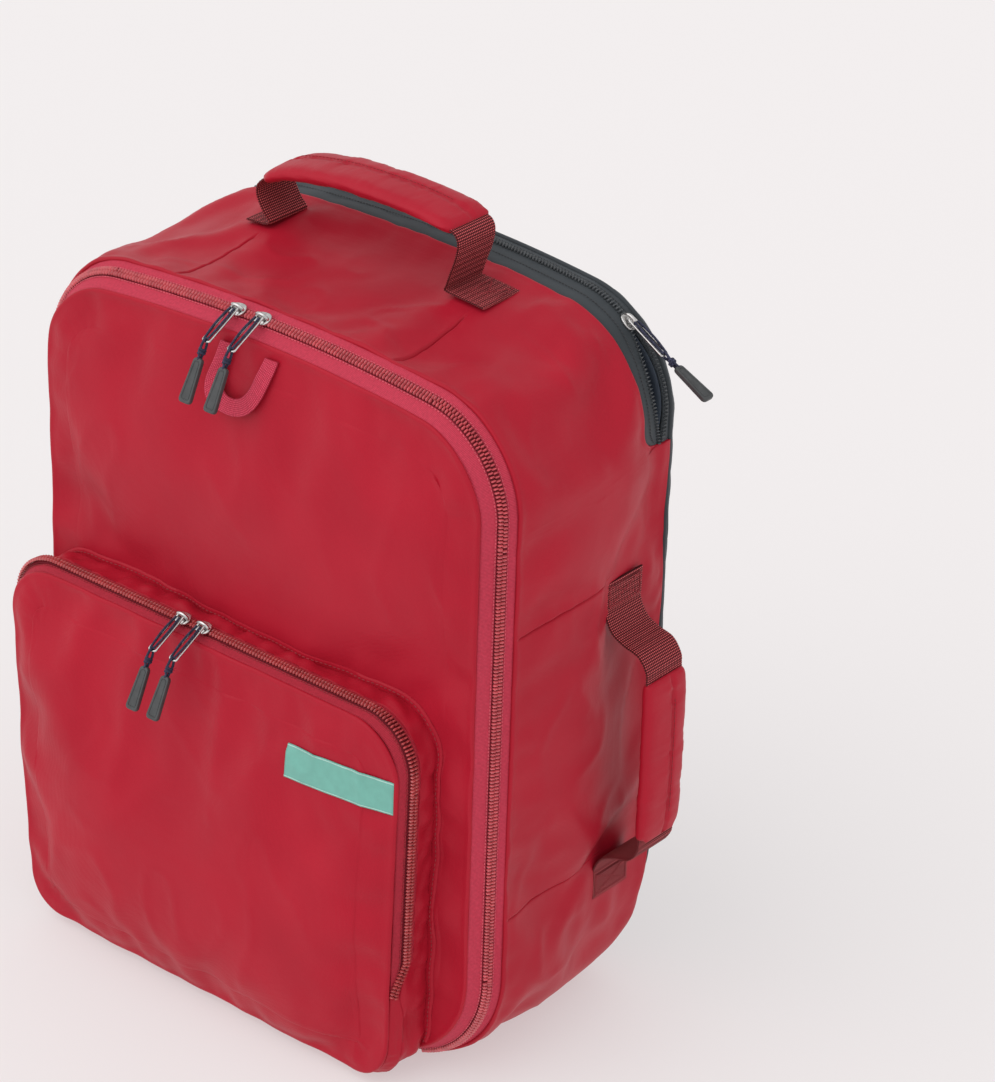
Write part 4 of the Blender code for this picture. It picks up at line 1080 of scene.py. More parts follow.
def strip_frames(run, t, pitch, shift=0.0):
    """Arrays of evenly spaced places on a strip, with the ways along, inwards and outwards there."""
    point, start, end, outward = run
    stations, _runs = even_stations(start, end, pitch, lambda s: point(s, t))
    step = (stations[1] - stations[0]) * shift
    frames = [strip_frame(point, s + step, t) for s in stations]
    places, along, inward, normal = (np.array([tuple(frame[k]) for frame in frames]) for k in range(4))
    return places, along, inward, normal * outward


def coil(name, run, t, side, material, rise=0.0007, tooth=0.0033, shift=0.0):
    """One side's row of teeth. side is +1 towards larger t. Each tooth lies across the zip."""
    places, along, inward, up = strip_frames(run, t, TOOTH_PITCH, shift)
    places = places + inward * side * tooth * 0.46 + up * rise
    return repeated(name, lozenge(tooth, 0.0015, 0.0022), places, inward * side, along, up, material)


def zip_stitches(name, run, t, material, rise=0.0002):
    places, along, inward, up = strip_frames(run, t, STITCH_PITCH)
    stitch = lozenge(0.0018, 0.0008, 0.0006, 3)
    return repeated(name, stitch, places + up * rise, along, inward, up, material)


def zip_half(prefix, label, run, middle, side, edge, long, scale, looks, core=BAG_CORE):
    """One side of a zip: its tape, its teeth, the stitches behind them and a dark strip beneath them, painted
    shade under and between the teeth.

    The tape lies between the zip's middle and its edge, both values of t, and is long metres wide. scale is
    metres for each t.
    """
    tape, teeth, thread = looks
    return (
        zip_tape(f"{prefix}_tape_{label}", run, middle, edge, long, tape, core=core),
        coil(f"{prefix}_teeth_{label}", run, middle, side, teeth, shift=0.25 * side),
        zip_stitches(f"{prefix}_coil_stitch_{label}", run, middle + side * STITCH_AT / scale, thread),
        # The dark strip under the teeth, painted shade.
        zip_tape(
            f"{prefix}_cord_{label}", run, middle, middle + side * SHADE_STRIP_WIDE / scale, SHADE_STRIP_WIDE, TEETH_SHADE,
            rise=0.0007, core=core,
        ),
    )


def out_sign(point, s, t, way):
    """The sign that turns a strip's normal at (s, t) to face along way."""
    return 1.0 if strip_frame(point, s, t)[3].dot(Vector(way)) > 0 else -1.0


ZIP_OUT = out_sign(zip_point, 10.5, COIL_AT, (1, 0, 0))
MAIN_RUN = (zip_point, MAIN_ZIP_END, STATIONS - MAIN_ZIP_END, ZIP_OUT)
MAIN_LOOKS = (TAPE, TEETH, PALE_THREAD)
for label, body, side, edge, node in (
    ("front", "cover", 1.0, 1.03, "main_zip_tape_front"),
    ("rear", "shell", -1.0, -0.03, "main_zip_tape_rear"),
):
    long = abs(edge - COIL_AT) * BEVEL_LONG
    half_zip = zip_half("main", label, MAIN_RUN, COIL_AT, side, edge, long, BEVEL_LONG, MAIN_LOOKS)
    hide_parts(node)
    ride_all(body, "tape", *half_zip)

# ---------------------------------------------------------------- front pocket
pocket_columns, pocket_runs = even_stations(0, STATIONS, 0.0030, lambda s: pocket_point(s, 0.5))
pocket_columns, pocket_runs = pocket_columns[:-1], pocket_runs[:-1]
GUSSET_LONG = (pocket_point(10, 1) - pocket_point(10, 0)).length
RIM_LONG = (pocket_point(10, 2) - pocket_point(10, 1)).length


def pocket_wall_height(s, run, t):
    """Crumpled gusset fabric, held flat where it is sewn to the cover and to the zip tape."""
    point = pocket_point(s, t)
    held = sin(pi * min(1.0, max(0.0, t / POCKET_TAPE_AT)))
    bumps = 0.0026 * noise.noise(Vector((run / 0.0085, t * 1.3, 4.0)))
    bumps += 0.0020 * noise.noise(Vector((run / 0.020 + t * 2.0, t, 8.0)))
    return held * (bumps + 0.0010) + 0.0004 * ripple(point.x, point.y, point.z, 0.012)


def fold_distance(s):
    """Stations from the middle of the base."""
    return abs((s + STATIONS / 2) % STATIONS - STATIONS / 2)


def teeth_at(s):
    """Where the teeth run across the side. They hook forwards to the front seam at each end of the zip."""
    return 1 + 0.80 * (1 - ease((fold_distance(s) - POCKET_ZIP_END) / 0.55))


def reach_of(s):
    """The gusset ends at the zip's tape, and meets the panel itself below the zip's ends."""
    low = fold_distance(s)
    return mix(1.0, (POCKET_TAPE_AT + 0.04) * teeth_at(s), ease((low - POCKET_ZIP_END + 0.35) / 0.35))


POCKET_CORE = Vector((-0.02, -0.11, 0.145))
wall, wall_high = [], []
for t in np.linspace(0, 1, 11):
    depths = [reach_of(s) * t for s in pocket_columns]
    wall.append([pocket_point(s, depth) for s, depth in zip(pocket_columns, depths)])
    wall_high.append([pocket_wall_height(*at) for at in zip(pocket_columns, pocket_runs, depths)])
sheet_rows = [[pocket_point(s, reach_of(s) * t) for s in pocket_columns[::2]] for t in np.linspace(0, 1, 6)]
wall_shift = slack_strip(
    "wall_sheet", sheet_rows, lambda point: False, 0.0030, 0.005, pressure=0.5, slack=0.05
)
wall = [[tuple(place + wall_shift(place)) for place in row] for row in wall]
pocket_wall = grid_object("pocket_wall", wall, RED, wall_high, closed=True, core=POCKET_CORE)
thicken(pocket_wall, 0.0018, LINING)
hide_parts("pocket_gusset")
ride_all("cover", "red", pocket_wall)


def pocket_height(x, z, distance, run):
    """How far the pocket's front stands off its plain surface."""
    broad = 0.0024 * ripple(x, 0, z, 0.130, 5.0) + 0.0013 * ripple(x, 0, z * 0.7, 0.055, 6.0)
    high = broad * ease(distance / 0.04) + crumple(x, 0.3, z) * ease(distance / 0.02)
    high += seam_folds(run, distance, 0.028, 0.0024, 0.020, 26.0)
    return high + seam_folds(run, distance, 0.012, 0.0015, 0.008, 6.0)


def behind_label(x, z):
    """The pocket's front is flat where the label is sewn to it."""
    return LABEL_X[0] - 0.004 < x < LABEL_X[1] and LABEL_Z[0] - 0.004 < z < LABEL_Z[1] + 0.004


pocket_shift = slack_panel(
    "pocket_sheet", pocket_seam, pocket_y, 0.008, behind_label, 0.008, pressure=0.22, slack=0.036
)
pocket_cloth = make_panel(
    "pocket_cloth", pocket_seam, pocket_y, pocket_height, 0.0034, RED, LINING, 0.0018, pocket_shift
)
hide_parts("pocket_panel")


def on_flap(slot, *objects):
    for obj in objects:
        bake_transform(obj)


on_flap("red", pocket_cloth)


def pocket_strip(s, t):
    """A point of the pocket's side, from the cover (0) to the teeth (1) and the front seam (2)."""
    teeth = teeth_at(s)
    return pocket_point(s, t * teeth if t < 1 else mix(teeth, 2.0, t - 1))


# The fold along the pocket's base, between the two ends of its zip.
FOLD_FROM, FOLD_TO = 0.96, 2.02
fold_rows = []
for t in np.linspace(FOLD_FROM, FOLD_TO, 9):
    row = []
    for step in range(151):
        s = (POCKET_ZIP_END * 2 + 0.1) * step / 150 - POCKET_ZIP_END - 0.05
        fade = sin(pi * min(1.0, (t - FOLD_FROM) / (FOLD_TO - FOLD_FROM)))
        crease = 0.0009 * noise.noise(Vector((s * 2.1, t * 2, 6.0))) * fade
        outwards = (pocket_point(s, 1.0) - pocket_point(s, 1.0, 0.001)).normalized()
        row.append(tuple(pocket_point(s, t) + outwards * crease))
    fold_rows.append(row)
pocket_fold = grid_object("pocket_base_fold", fold_rows, RED, core=POCKET_CORE)
on_flap("red", thicken(pocket_fold, 0.0014, LINING))

POCKET_OUT = out_sign(pocket_strip, 10.5, 0.9, (1, 0, 0))
POCKET_RUN = (pocket_strip, POCKET_ZIP_END, STATIONS - POCKET_ZIP_END, POCKET_OUT)
POCKET_LOOKS = (POCKET_TAPE, POCKET_TEETH, THREAD)
rear_zip = zip_half(
    "pocket", "rear", POCKET_RUN, 1.0, -1.0, POCKET_TAPE_AT - 0.02, (1 - POCKET_TAPE_AT) * GUSSET_LONG,
    GUSSET_LONG, POCKET_LOOKS, POCKET_CORE,
)
front_zip = zip_half(
    "pocket", "front", POCKET_RUN, 1.0, 1.0, 2.03, RIM_LONG, RIM_LONG, POCKET_LOOKS, POCKET_CORE
)
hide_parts("pocket_zip_tape_rear")
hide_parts("pocket_zip_tape_front")
ride_all("cover", "tape", *rear_zip)
on_flap("tape", *front_zip)

# The gusset's seam allowance lies flat on the cover, with a row of stitches: how far in, and how high.
RIDGE = (
    (0.0020, 0.0004), (-0.0004, 0.0016), (-0.0022, 0.0013), (-0.0040, 0.0015), (-0.0052, 0.0012),
    (-0.0056, 0.0002),
)
ridge_stations, ridge_runs = even_stations(6.5, STATIONS - 6.5, 0.003, lambda s: pocket_point(s, 0))


def on_cover(x, z, rise):
    """A point on the cover's cloth, raised off it."""
    inward = min(HALF_WIDTH - BEVEL_IN - abs(x), z - BEVEL_IN, HEIGHT - BEVEL_IN - z)
    place = Vector((x, cover_y(x, z), z))
    high = cover_height(x, z, max(inward, 0.0015), 0.0) + 0.0010 + rise
    return place + cover_shift(place) - Vector((0, high, 0))


ridge_rows = []
for inset, high in RIDGE:
    row = []
    for s, run in zip(ridge_stations, ridge_runs):
        wave = 0.0006 * noise.noise(Vector((run / 0.015, 2.0, 0)))
        row.append(tuple(on_cover(*pocket_outline(s, *POCKET_BASE[:4], inset + wave), high)))
    ridge_rows.append(row)
ridge = grid_object("pocket_seam_ridge", ridge_rows, RED)
ridge_line = [on_cover(*pocket_outline(s, *POCKET_BASE[:4], -0.0030), 0.0014) for s in ridge_stations]
ridge_thread = stitches("pocket_ridge_stitch", ridge_line, Vector((0, -1, 0)), THREAD, pitch=0.0036)
ride_all("cover", "red", ridge, ridge_thread)

# The cover bends along the base, where it isn't zipped.
fold_rows = []
for t in np.linspace(-0.06, 1.04, 13):
    row = []
    for step in range(91):
        s = (MAIN_ZIP_END + 0.03) * (2 * step / 90 - 1)
        place, _along, _inward, normal = strip_frame(zip_point, s, t)
        row.append(tuple(place + normal * ZIP_OUT * 0.0006))
    fold_rows.append(row)
base_fold = thicken(grid_object("cover_base_fold", fold_rows, RED), 0.0020, LINING)
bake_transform(base_fold)

# ---------------------------------------------------------------- racket compartment
def mouth(s):
    """0 where the racket zip is closed, rising to 1 in the middle of its open stretch."""
    t = (s - BAND_END) / (MOUTH_END - BAND_END)
    return sin(pi * t) if 0 < t < 1 else 0.0


def racket_strip(side):
    """Points of one half of the band: 0 at its teeth, 1 at its sewn edge."""

    def point(s, t):
        if side < 0:
            teeth_y = RACKET_ZIP_Y - MOUTH_FRONT * mouth(s)
            edge_y = min(band_front_y(s) - 0.0025, teeth_y)
        else:
            teeth_y, edge_y = RACKET_ZIP_Y + MOUTH_REAR * mouth(s), BACK_SEAM_Y
        return bag_point(s, mix(teeth_y, edge_y, t))

    return point


BAND_STATIONS, BAND_RUNS = even_stations(
    BAND_END + 0.02, STATIONS - BAND_END - 0.02, 0.0030, lambda s: bag_point(s, RACKET_ZIP_Y)
)
for side, label in ((-1, "front"), (1, "rear")):
    strip = racket_strip(side)
    rows = []
    for t in (0.0, 0.06, 0.14, 0.25, 0.4, 0.55, 0.7, 0.82, 0.90, 0.95, 0.985, 1.0):
        row = []
        for s, run in zip(BAND_STATIONS, BAND_RUNS):
            place = strip(s, t)
            rise = mix(0.0010, -0.0004, ease((t - 0.75) / 0.2)) if side < 0 else 0.0010
            rise += 0.0007 * noise.noise(Vector((run / 0.018, t * 1.5, side * 3.0))) * sin(pi * t)
            row.append(tuple(place + side_normal(s, place.y) * rise))
        rows.append(row)
    band = thicken(grid_object(f"racket_band_{label}_cloth", rows, DARK), 0.0016, LINING)
    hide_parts(f"racket_band_{label}")
    out = out_sign(strip, 14.0, 0.3, (1, 0, 0))
    teeth_run = (strip, BAND_END + 0.15, STATIONS - BAND_END - 0.3, out)
    stitch_run = (strip, BAND_END + 0.3, STATIONS - BAND_END - 0.3, out)
    row = coil(
        f"racket_teeth_{label}", teeth_run, 0.0, 1.0, DARK_TEETH,
        rise=0.0013, tooth=0.0022, shift=0.25 * side,
    )
    thread = zip_stitches(f"racket_stitch_{label}", stitch_run, 0.42, DARK_THREAD, rise=0.0013)
    ride_all("shell", "dark", band, row, thread)

# Lining inside the open mouth.
for side, label, deep_y in ((-1, "front", 0.064), (1, "rear", 0.087)):
    strip = racket_strip(side)
    rows = []
    for t in np.linspace(0, 1, 9):
        row = []
        for s in np.linspace(BAND_END + 0.1, MOUTH_END + 0.4, 60):
            y = mix(strip(s, 0).y, deep_y, ease(t * 1.2))
            wave = 0.0015 * noise.noise(Vector((s * 1.7, t * 2.5, side * 2.0))) * t
            row.append(tuple(bag_point(s, y, 0.0012 + 0.034 * t + wave)))
        rows.append(row)
    lining_points = np.array(rows).reshape(-1, 3)
    mouth_lining = build(f"mouth_lining_{label}", lining_points, grid_faces(9, 60), LINING)
    ride_all("shell", "lining", thicken(mouth_lining, 0.0006))

# ---------------------------------------------------------------- back
BACK_COLUMNS, BACK_RUNS = even_stations(0, STATIONS, 0.0040, lambda s: bag_point(s, BACK_SEAM_Y))


def back_seam(s, inset=0.0):
    top, bottom = BACK_TOP - inset, BACK_BOTTOM + inset
    return outline_point(
        s, BACK_HALF_WIDTH - inset, top, bottom, REAR_TOP_RADIUS - inset, BOTTOM_RADIUS - inset
    )


rows, high = [], []
for turn in (34.5, 38, 42, 46, 50, 55, 60, 65, 70, 75, 80, 84, 87, 90):
    depth = ROUND_Y + (BACK_Y - ROUND_Y) * sin(radians(turn))
    rows.append([tuple(bag_point(s, depth)) for s in BACK_COLUMNS[:-1]])
    share = ease((turn - 36) / 12) * ease((90 - turn) / 12)
    waves = [noise.noise(Vector((run / 0.016, turn / 40, 7.0))) for run in BACK_RUNS[:-1]]
    high.append([share * 0.0011 * wave for wave in waves])
back_round = thicken(grid_object("back_rounding", rows, DARK, high, closed=True), 0.0020, LINING)
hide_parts("back_panel")


def back_height(x, z, distance, run):
    """How far the back's cloth stands off its plain surface."""
    broad = 0.0012 * ripple(x, 5.0, z, 0.080, 2.0) * ease(distance / 0.03)
    return broad + seam_folds(run, distance, 0.014, 0.0009, 0.008, 9.0)


back_cloth = make_panel(
    "back_cloth", back_seam, lambda x, z: BACK_Y - 0.0022, back_height, 0.0050, DARK, LINING, 0.0018,
    out=1.0,
)
piping_line = [bag_point(s, BACK_SEAM_Y) + side_normal(s, BACK_SEAM_Y) * 0.0010 for s in BACK_COLUMNS[:-1]]
piping = tube("back_piping", piping_line, 0.0020, DARK, closed=True)
ride_all("shell", "dark", back_round, back_cloth, piping)

# ---------------------------------------------------------------- padded pieces
def signed_power(value, power):
    """The power of a value's size, with the value's sign."""
    return abs(value) ** power * (1 if value > 0 else -1)


def round_ring(count, half_a, half_b, power_a, power_b):
    """A ring of a rounded rectangle. The smaller the powers, the squarer it is."""
    turns = [2 * pi * (k + 0.5) / count for k in range(count)]
    return [(half_a * signed_power(cos(t), power_a), half_b * signed_power(sin(t), power_b)) for t in turns]


def bolster(name, path, across, sections, material, count):
    """A closed padded body along a path. sections(k, last) gives its width and thickness there."""
    places, _ahead, wide, up = frames_along(path, across)
    points = []
    for k in range(len(places)):
        width, thick = sections(k, len(places) - 1)
        for a, b in round_ring(count, width / 2, thick / 2, 0.45, 0.75):
            points.append(places[k] + wide[k] * a + up[k] * b)
    return turn_out(build(name, points, body_faces(len(places), count), material))


PAD_CORNER = 0.014
PAD_HIGH = 0.0075


def cushion(name, x0, z0, wide, tall, material):
    """A flat-backed pad on the back panel: rings of a rounded rectangle that close over its crown."""
    count = 64
    power = 2 * PAD_CORNER / min(wide, tall)
    rings = (
        (0.004, 0.0), (0.0005, 0.0012), (0.0, 0.35 * PAD_HIGH), (0.0010, 0.62 * PAD_HIGH),
        (0.0035, 0.86 * PAD_HIGH), (0.008, PAD_HIGH),
    )
    points = []
    for inset, high in rings:
        for x, z in round_ring(count, wide / 2 - inset, tall / 2 - inset, power, power):
            points.append((x0 + x, PAD_Y + high, z0 + z))
    return turn_out(build(name, points, body_faces(len(rings), count), material))


def apply_modifiers(obj):
    """Replaces the object's mesh by what its modifiers make of it."""
    graph = bpy.context.evaluated_depsgraph_get()
    mesh = bpy.data.meshes.new_from_object(obj.evaluated_get(graph))
    obj.modifiers.clear()
    old, obj.data = obj.data, mesh
    bpy.data.meshes.remove(old)


def plump(pads):
    """Inflates padded pieces together as cloth. Each pad is (object, voxel, pressure, cap, held).

    held(point) is true where the pad is sewn down, and cap is how far a point may move.
    """
    starts = []
    for obj, voxel, pressure, _cap, held in pads:
        remesh = obj.modifiers.new("remesh", "REMESH")
        remesh.mode, remesh.voxel_size = "VOXEL", voxel
        bpy.context.view_layer.update()
        apply_modifiers(obj)
        starts.append(np.array([tuple(v.co) for v in obj.data.vertices]))
        make_cloth(obj, [v.index for v in obj.data.vertices if held(v.co)], 6, 12, 0.6, pressure)
    play_cloth()
    for (obj, _voxel, _pressure, cap, _held), start in zip(pads, starts):
        step = shaped_points(obj) - start
        obj.modifiers.clear()
        far = np.linalg.norm(step, axis=1, keepdims=True)
        step *= np.minimum(1.0, cap / np.maximum(far, 1e-9))
        obj.data.vertices.foreach_set("co", (start + step).astype(np.float32).ravel())
        obj.data.update()
    bpy.context.scene.frame_set(1)


def refine(obj):
    """One subdivision, so that sewn channels can be pressed into the mesh."""
    subdivide = obj.modifiers.new("subdivide", "SUBSURF")
    subdivide.levels = subdivide.render_levels = 1
    bpy.context.view_layer.update()
    apply_modifiers(obj)
    obj.data.shade_smooth()


def press(obj, depth_at):
    """Moves each point by the vector that depth_at gives for it."""
    for vert in obj.data.vertices:
        vert.co += depth_at(vert.co, vert.normal)
    obj.data.update()


PAD_Y = BACK_Y + 0.0006
# Each back pad: its middle (X, Z), width and height, and the lines pressed into it, along one axis.
BACK_PADS = (
    ("back_cushion_left", "back_pad_left", -0.060, 0.376, 0.078, 0.106, (0.352, 0.400), 2),
    ("back_cushion_right", "back_pad_right", 0.060, 0.376, 0.078, 0.106, (0.352, 0.400), 2),
    ("lumbar_cushion", "lumbar_pad", 0.0, 0.198, 0.216, 0.072, (-0.036, 0.036), 0),
)
pads = []
back_pads = []
for name, node, x, z, wide, tall, lines, axis in BACK_PADS:
    pad = cushion(name, x, z, wide, tall, SPACER)
    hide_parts(node)
    back_pads.append((pad, lines, axis))
    pads.append((pad, 0.0045, 3.0, 0.0035, lambda p: p.y < PAD_Y + 0.0020))

STRAP_WIDE, STRAP_THICK = 0.060, 0.0115
PAD_ROUTE = (
    (0.052, 0.0085, 0.4490), (0.055, 0.0190, 0.4380), (0.062, 0.0320, 0.4100), (0.073, 0.0390, 0.3700),
    (0.087, 0.0400, 0.3300), (0.102, 0.0360, 0.2880), (0.115, 0.0310, 0.2500), (0.124, 0.0280, 0.2250),
)
PAD_SHARES = (0.0, 0.06, 0.24, 0.42, 0.60, 0.78, 0.93, 1.0)
PAD_NARROW = (0.60, 0.80, 0.95, 1.0, 1.0, 0.98, 0.85, 0.50)
PAD_FLAT = (0.35, 0.75, 0.85, 0.85, 0.85, 0.85, 0.75, 0.40)


def strap_section(k, last):
    """Width and thickness of a shoulder strap's pad at point k of its path."""
    wide, thick = (float(np.interp(k / last, PAD_SHARES, shares)) for shares in (PAD_NARROW, PAD_FLAT))
    return STRAP_WIDE * wide, STRAP_THICK * thick


straps = {}
for label, sign in (("left", -1), ("right", 1)):
    route = [Vector((sign * x, BACK_Y + y, z)) for x, y, z in PAD_ROUTE]
    lane = smooth_path(route, 0.006)

    pad = bolster(f"shoulder_cushion_{label}", lane, Vector((1, 0, 0.25 * sign)), strap_section, SPACER, 28)
    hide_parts(f"shoulder_pad_{label}")
    straps[label] = (pad, lane, route, sign)
    top = route[0]
    pads.append((pad, 0.0050, 2.2, 0.0030, lambda p, top=top: (p - top).length < 0.010))

# The handles' lines: X and the height over the top, then the distance off the side and Z from its middle.
LEFT_LEG = ((-0.0985, 0.0200), (-0.0985, 0.0270))
GRIP = (
    (-0.0935, 0.0330), (-0.0800, 0.0405), (-0.0600, 0.0460), (-0.0300, 0.0505), (0.0, 0.0520),
    (0.0300, 0.0520), (0.0550, 0.0500), (0.0720, 0.0465),
)
RIGHT_LEG = ((0.0768, 0.0430), (0.0780, 0.0370), (0.0760, 0.0270), (0.0720, 0.0160), (0.0690, 0.0068))
TOP_SURFACE = top_point(0.078, TOP_HANDLE_Y, 0).z
SIDE_LEG = ((0.0085, 0.0880), (0.0190, 0.0825), (0.0310, 0.0790), (0.0380, 0.0700))
SIDE_GRIP = ((0.0390, 0.0620), (0.0400, 0.0420), (0.0405, 0.0210), (0.0405, 0.0))
SIDE_SURFACE = section(SIDE_HANDLE_Y)[0]
SIDE_MIDDLE = 0.226


def side_way(half):
    """A path on the right side, mirrored about the handle's middle height."""
    points = [(x, z) for x, z in half] + [(x, -z) for x, z in reversed(half) if z > 0]
    return [Vector((SIDE_SURFACE + x, SIDE_HANDLE_Y, SIDE_MIDDLE + z)) for x, z in points]


def sleeve_section(k, last):
    """Full along its length and pinched a little at its two hemmed ends."""
    end = min(k, last - k) / 2.5
    return SLEEVE_WIDE * mix(0.98, 1.0, ease(end)), SLEEVE_THICK * mix(0.66, 0.86, ease(end))


def near_ends(ends, point):
    return min((point - end).length for end in ends) < 0.024


WIDE_Y = Vector((0, 1, 0))
top_grip = smooth_path([Vector((x, TOP_HANDLE_Y, TOP_SURFACE + z)) for x, z in GRIP], 0.005)
side_grip = smooth_path(side_way(SIDE_GRIP), 0.005)
sleeves = {}
for label, path in (("top", top_grip), ("side", side_grip)):
    sleeve = bolster(f"{label}_grip_sleeve", path, WIDE_Y, sleeve_section, RED, 36)
    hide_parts(f"{label}_handle_sleeve")
    sleeves[label] = (sleeve, path)
    held = partial(near_ends, (path[0], path[-1]))
    pads.append((sleeve, 0.0042, 1.6, 0.0016, held))

plump(pads)
for pad, *_ in pads:
    refine(pad)


def groove(away, width):
    """1 on a line, falling to nothing about a width away from it."""
    return exp(-((away / width) ** 2))


def back_channels(lines, axis):
    """Lines pressed into the outer face of a back pad, at these values of one axis."""

    def depth_at(point, normal):
        if normal.y < 0.1:
            return Vector((0, 0, 0))
        return Vector((0, -0.0042 * max(groove(point[axis] - line, 0.0035) for line in lines), 0))

    return depth_at


for pad, lines, axis in back_pads:
    press(pad, back_channels(lines, axis))
    ride_all("shell", "mesh", pad)

for k, (_name, _node, x0, z0, wide, tall, _lines, _axis) in enumerate(BACK_PADS):
    wide, tall = wide + 0.001, tall + 0.001
    power = 2 * PAD_CORNER / min(wide, tall)
    ring = round_ring(96, wide / 2, tall / 2, power, power)
    line = [Vector((x0 + x, BACK_Y + 0.0016, z0 + z)) for x, z in ring]
    ride_all("shell", "dark", tube(f"back_pad_piping_{k}", line, 0.0014, DARK, sides=8, closed=True))

# ---------------------------------------------------------------- shoulder straps
# Each is a pad with its binding, a ladder lock, and webbing with a loose end.
LOCK_HIGH = 0.026
STRAP_WEB_WIDE, STRAP_WEB_THICK = 0.025, 0.0016
STRAP_ANCHOR_X = 0.150


def basis(along, down):
    """A rotation whose X is along and whose -Z is down."""
    along, down = along.normalized(), down.normalized()
    return Matrix((along, (-down).cross(along), -down)).transposed().to_4x4()


def back_surface(x, z):
    """Depth of the back's rounded lower edge at (x, z)."""
    near, far = ROUND_Y, BACK_Y
    for _ in range(30):
        y = (near + far) / 2
        half, _top, bottom, _r_top, radius = section(y)
        over = max(0.0, abs(x) - (half - radius))
        edge = bottom + radius - sqrt(max(0.0, radius**2 - over**2))
        near, far = (y, far) if edge < z else (near, y)
    return near


for label, (pad, lane, route, sign) in straps.items():
    body = f"strap_{label}"
    places, _ahead, wide, _up = frames_along(lane, Vector((1, 0, 0.25 * sign)))
    last = len(lane) - 1
    rims = []
    for side, steps in ((-1, range(1, last)), (1, range(last - 1, 0, -1))):
        for k in steps:
            half = strap_section(k, last)[0] / 2 + 0.0004
            rims.append(Vector(places[k] + wide[k] * side * half))
    rim_line = smooth_path([*rims, rims[0]], 0.004)[:-1]
    binding = tube(f"strap_binding_{label}", rim_line, 0.0024, DARK, sides=8, closed=True)
    for piece, slot in ((pad, "mesh"), (binding, "dark")):
        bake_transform(piece)

    # The ladder lock hangs on the pad's end, and its place here is that of the CAD's lock.
    pad_end = route[-1]
    down = (pad_end - route[-2]).normalized()
    across = Vector((1, 0, 0))
    across = (across - down * across.dot(down)).normalized()
    centre = pad_end + down * (LOCK_HIGH / 2 + 0.0015)
    place = Matrix.Translation(centre) @ basis(across, down)
    low_bar = -0.01055
    bend = 0.0037 + STRAP_WEB_THICK / 2
    turns = [pi * quarter / 4 for quarter in range(5)]
    wrap = [place @ Vector((0, -bend * cos(a), low_bar + bend * sin(a))) for a in turns]
    sewn = Vector((sign * STRAP_ANCHOR_X, BACK_Y + 0.0045, 0.1145))
    tail = place @ Vector((0, bend + 0.001, low_bar - 0.060))
    tail.y = max(tail.y, wrap[-1].y + 0.004)
    tail.x = wrap[-1].x + sign * 0.006
    wrap = wrap if wrap[0].y < wrap[-1].y else wrap[::-1]
    web_path = smooth_path([sewn, sewn.lerp(wrap[0], 0.5), *wrap, wrap[-1].lerp(tail, 0.5), tail], 0.0016)
    web = belt(
        f"strap_web_{label}", web_path, across, STRAP_WEB_WIDE, STRAP_WEB_THICK, BLACK_WEB, rib=0.00012
    )
    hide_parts(f"strap_webbing_{label}")
    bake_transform(web)

    keeper_path = smooth_path([pad_end - down * 0.012, pad_end, pad_end + down * 0.006], 0.002)
    keeper = belt(f"lock_keeper_{label}", keeper_path, across, 0.027, 0.0030, BLACK_WEB)
    ride_all(body, "black_webbing", keeper)

    rows = []
    for t in np.linspace(0, 1, 10):
        z, half = mix(0.112, 0.085, t), mix(0.014, 0.024, t)
        row = []
        for share in np.linspace(-1, 1, 13):
            x = sign * STRAP_ANCHOR_X + half * share
            row.append((x, back_surface(x, z) + 0.0040 - 0.0012 * abs(share) ** 6, z))
        rows.append(row)
    tab = thicken(grid_object(f"strap_anchor_patch_{label}", rows, DARK), 0.0026)
    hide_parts(f"strap_anchor_{label}")
    seam = [rows[k][2] for k in range(1, 9)]
    seam += [rows[8][k] for k in range(3, 11)]
    seam += [rows[k][10] for k in range(7, 0, -1)]
    seam_line = [Vector((x, y + 0.0004, z)) for x, y, z in seam]
    ride_all("shell", "dark", tab, stitches(f"strap_anchor_stitch_{label}", seam_line, WIDE_Y, DARK_THREAD))

# The yoke above the straps, and the trolley band across the back.
YOKE_Z, BAND_Z, BAND_HALF = 0.468, 0.286, 0.176
yoke_path = [Vector((x, BACK_Y + 0.0020, YOKE_Z)) for x in np.linspace(-0.095, 0.095, 60)]
yoke = belt("yoke_strip", yoke_path, Vector((0, 0, 1)), 0.030, 0.0028, BLACK_WEB)
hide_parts("strap_yoke")
band_points = []
for x in np.linspace(-BAND_HALF, BAND_HALF, 90):
    bow = 0.0016 + 0.0075 * ease((1 - abs(x) / BAND_HALF) / 0.3)
    band_points.append(Vector((x, BACK_Y + bow, BAND_Z)))
trolley = belt("trolley_sleeve_band", band_points, Vector((0, 0, 1)), 0.052, 0.0020, DARK, crown=0.0006)
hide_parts("trolley_band")
ride_all("shell", "dark", yoke, trolley)
for k, x in enumerate((-0.170, -0.163, 0.170, 0.163)):
    line = [Vector((x, BACK_Y + 0.0036, BAND_Z + high)) for high in np.linspace(-0.024, 0.024, 12)]
    ride_all("shell", "dark", stitches(f"trolley_stitch_{k}", line, WIDE_Y, DARK_THREAD))
BOX_CORNERS = ((-0.02, -0.011), (0.02, -0.011), (0.02, 0.011), (-0.02, 0.011))
for k, x in enumerate((-0.052, 0.052)):
    route = (*BOX_CORNERS, BOX_CORNERS[0], BOX_CORNERS[2])
    line = [Vector((x + across, BACK_Y + 0.0038, YOKE_Z + high)) for across, high in route]
    ride_all("shell", "dark", stitches(f"yoke_stitch_{k}", line, WIDE_Y, DARK_THREAD))

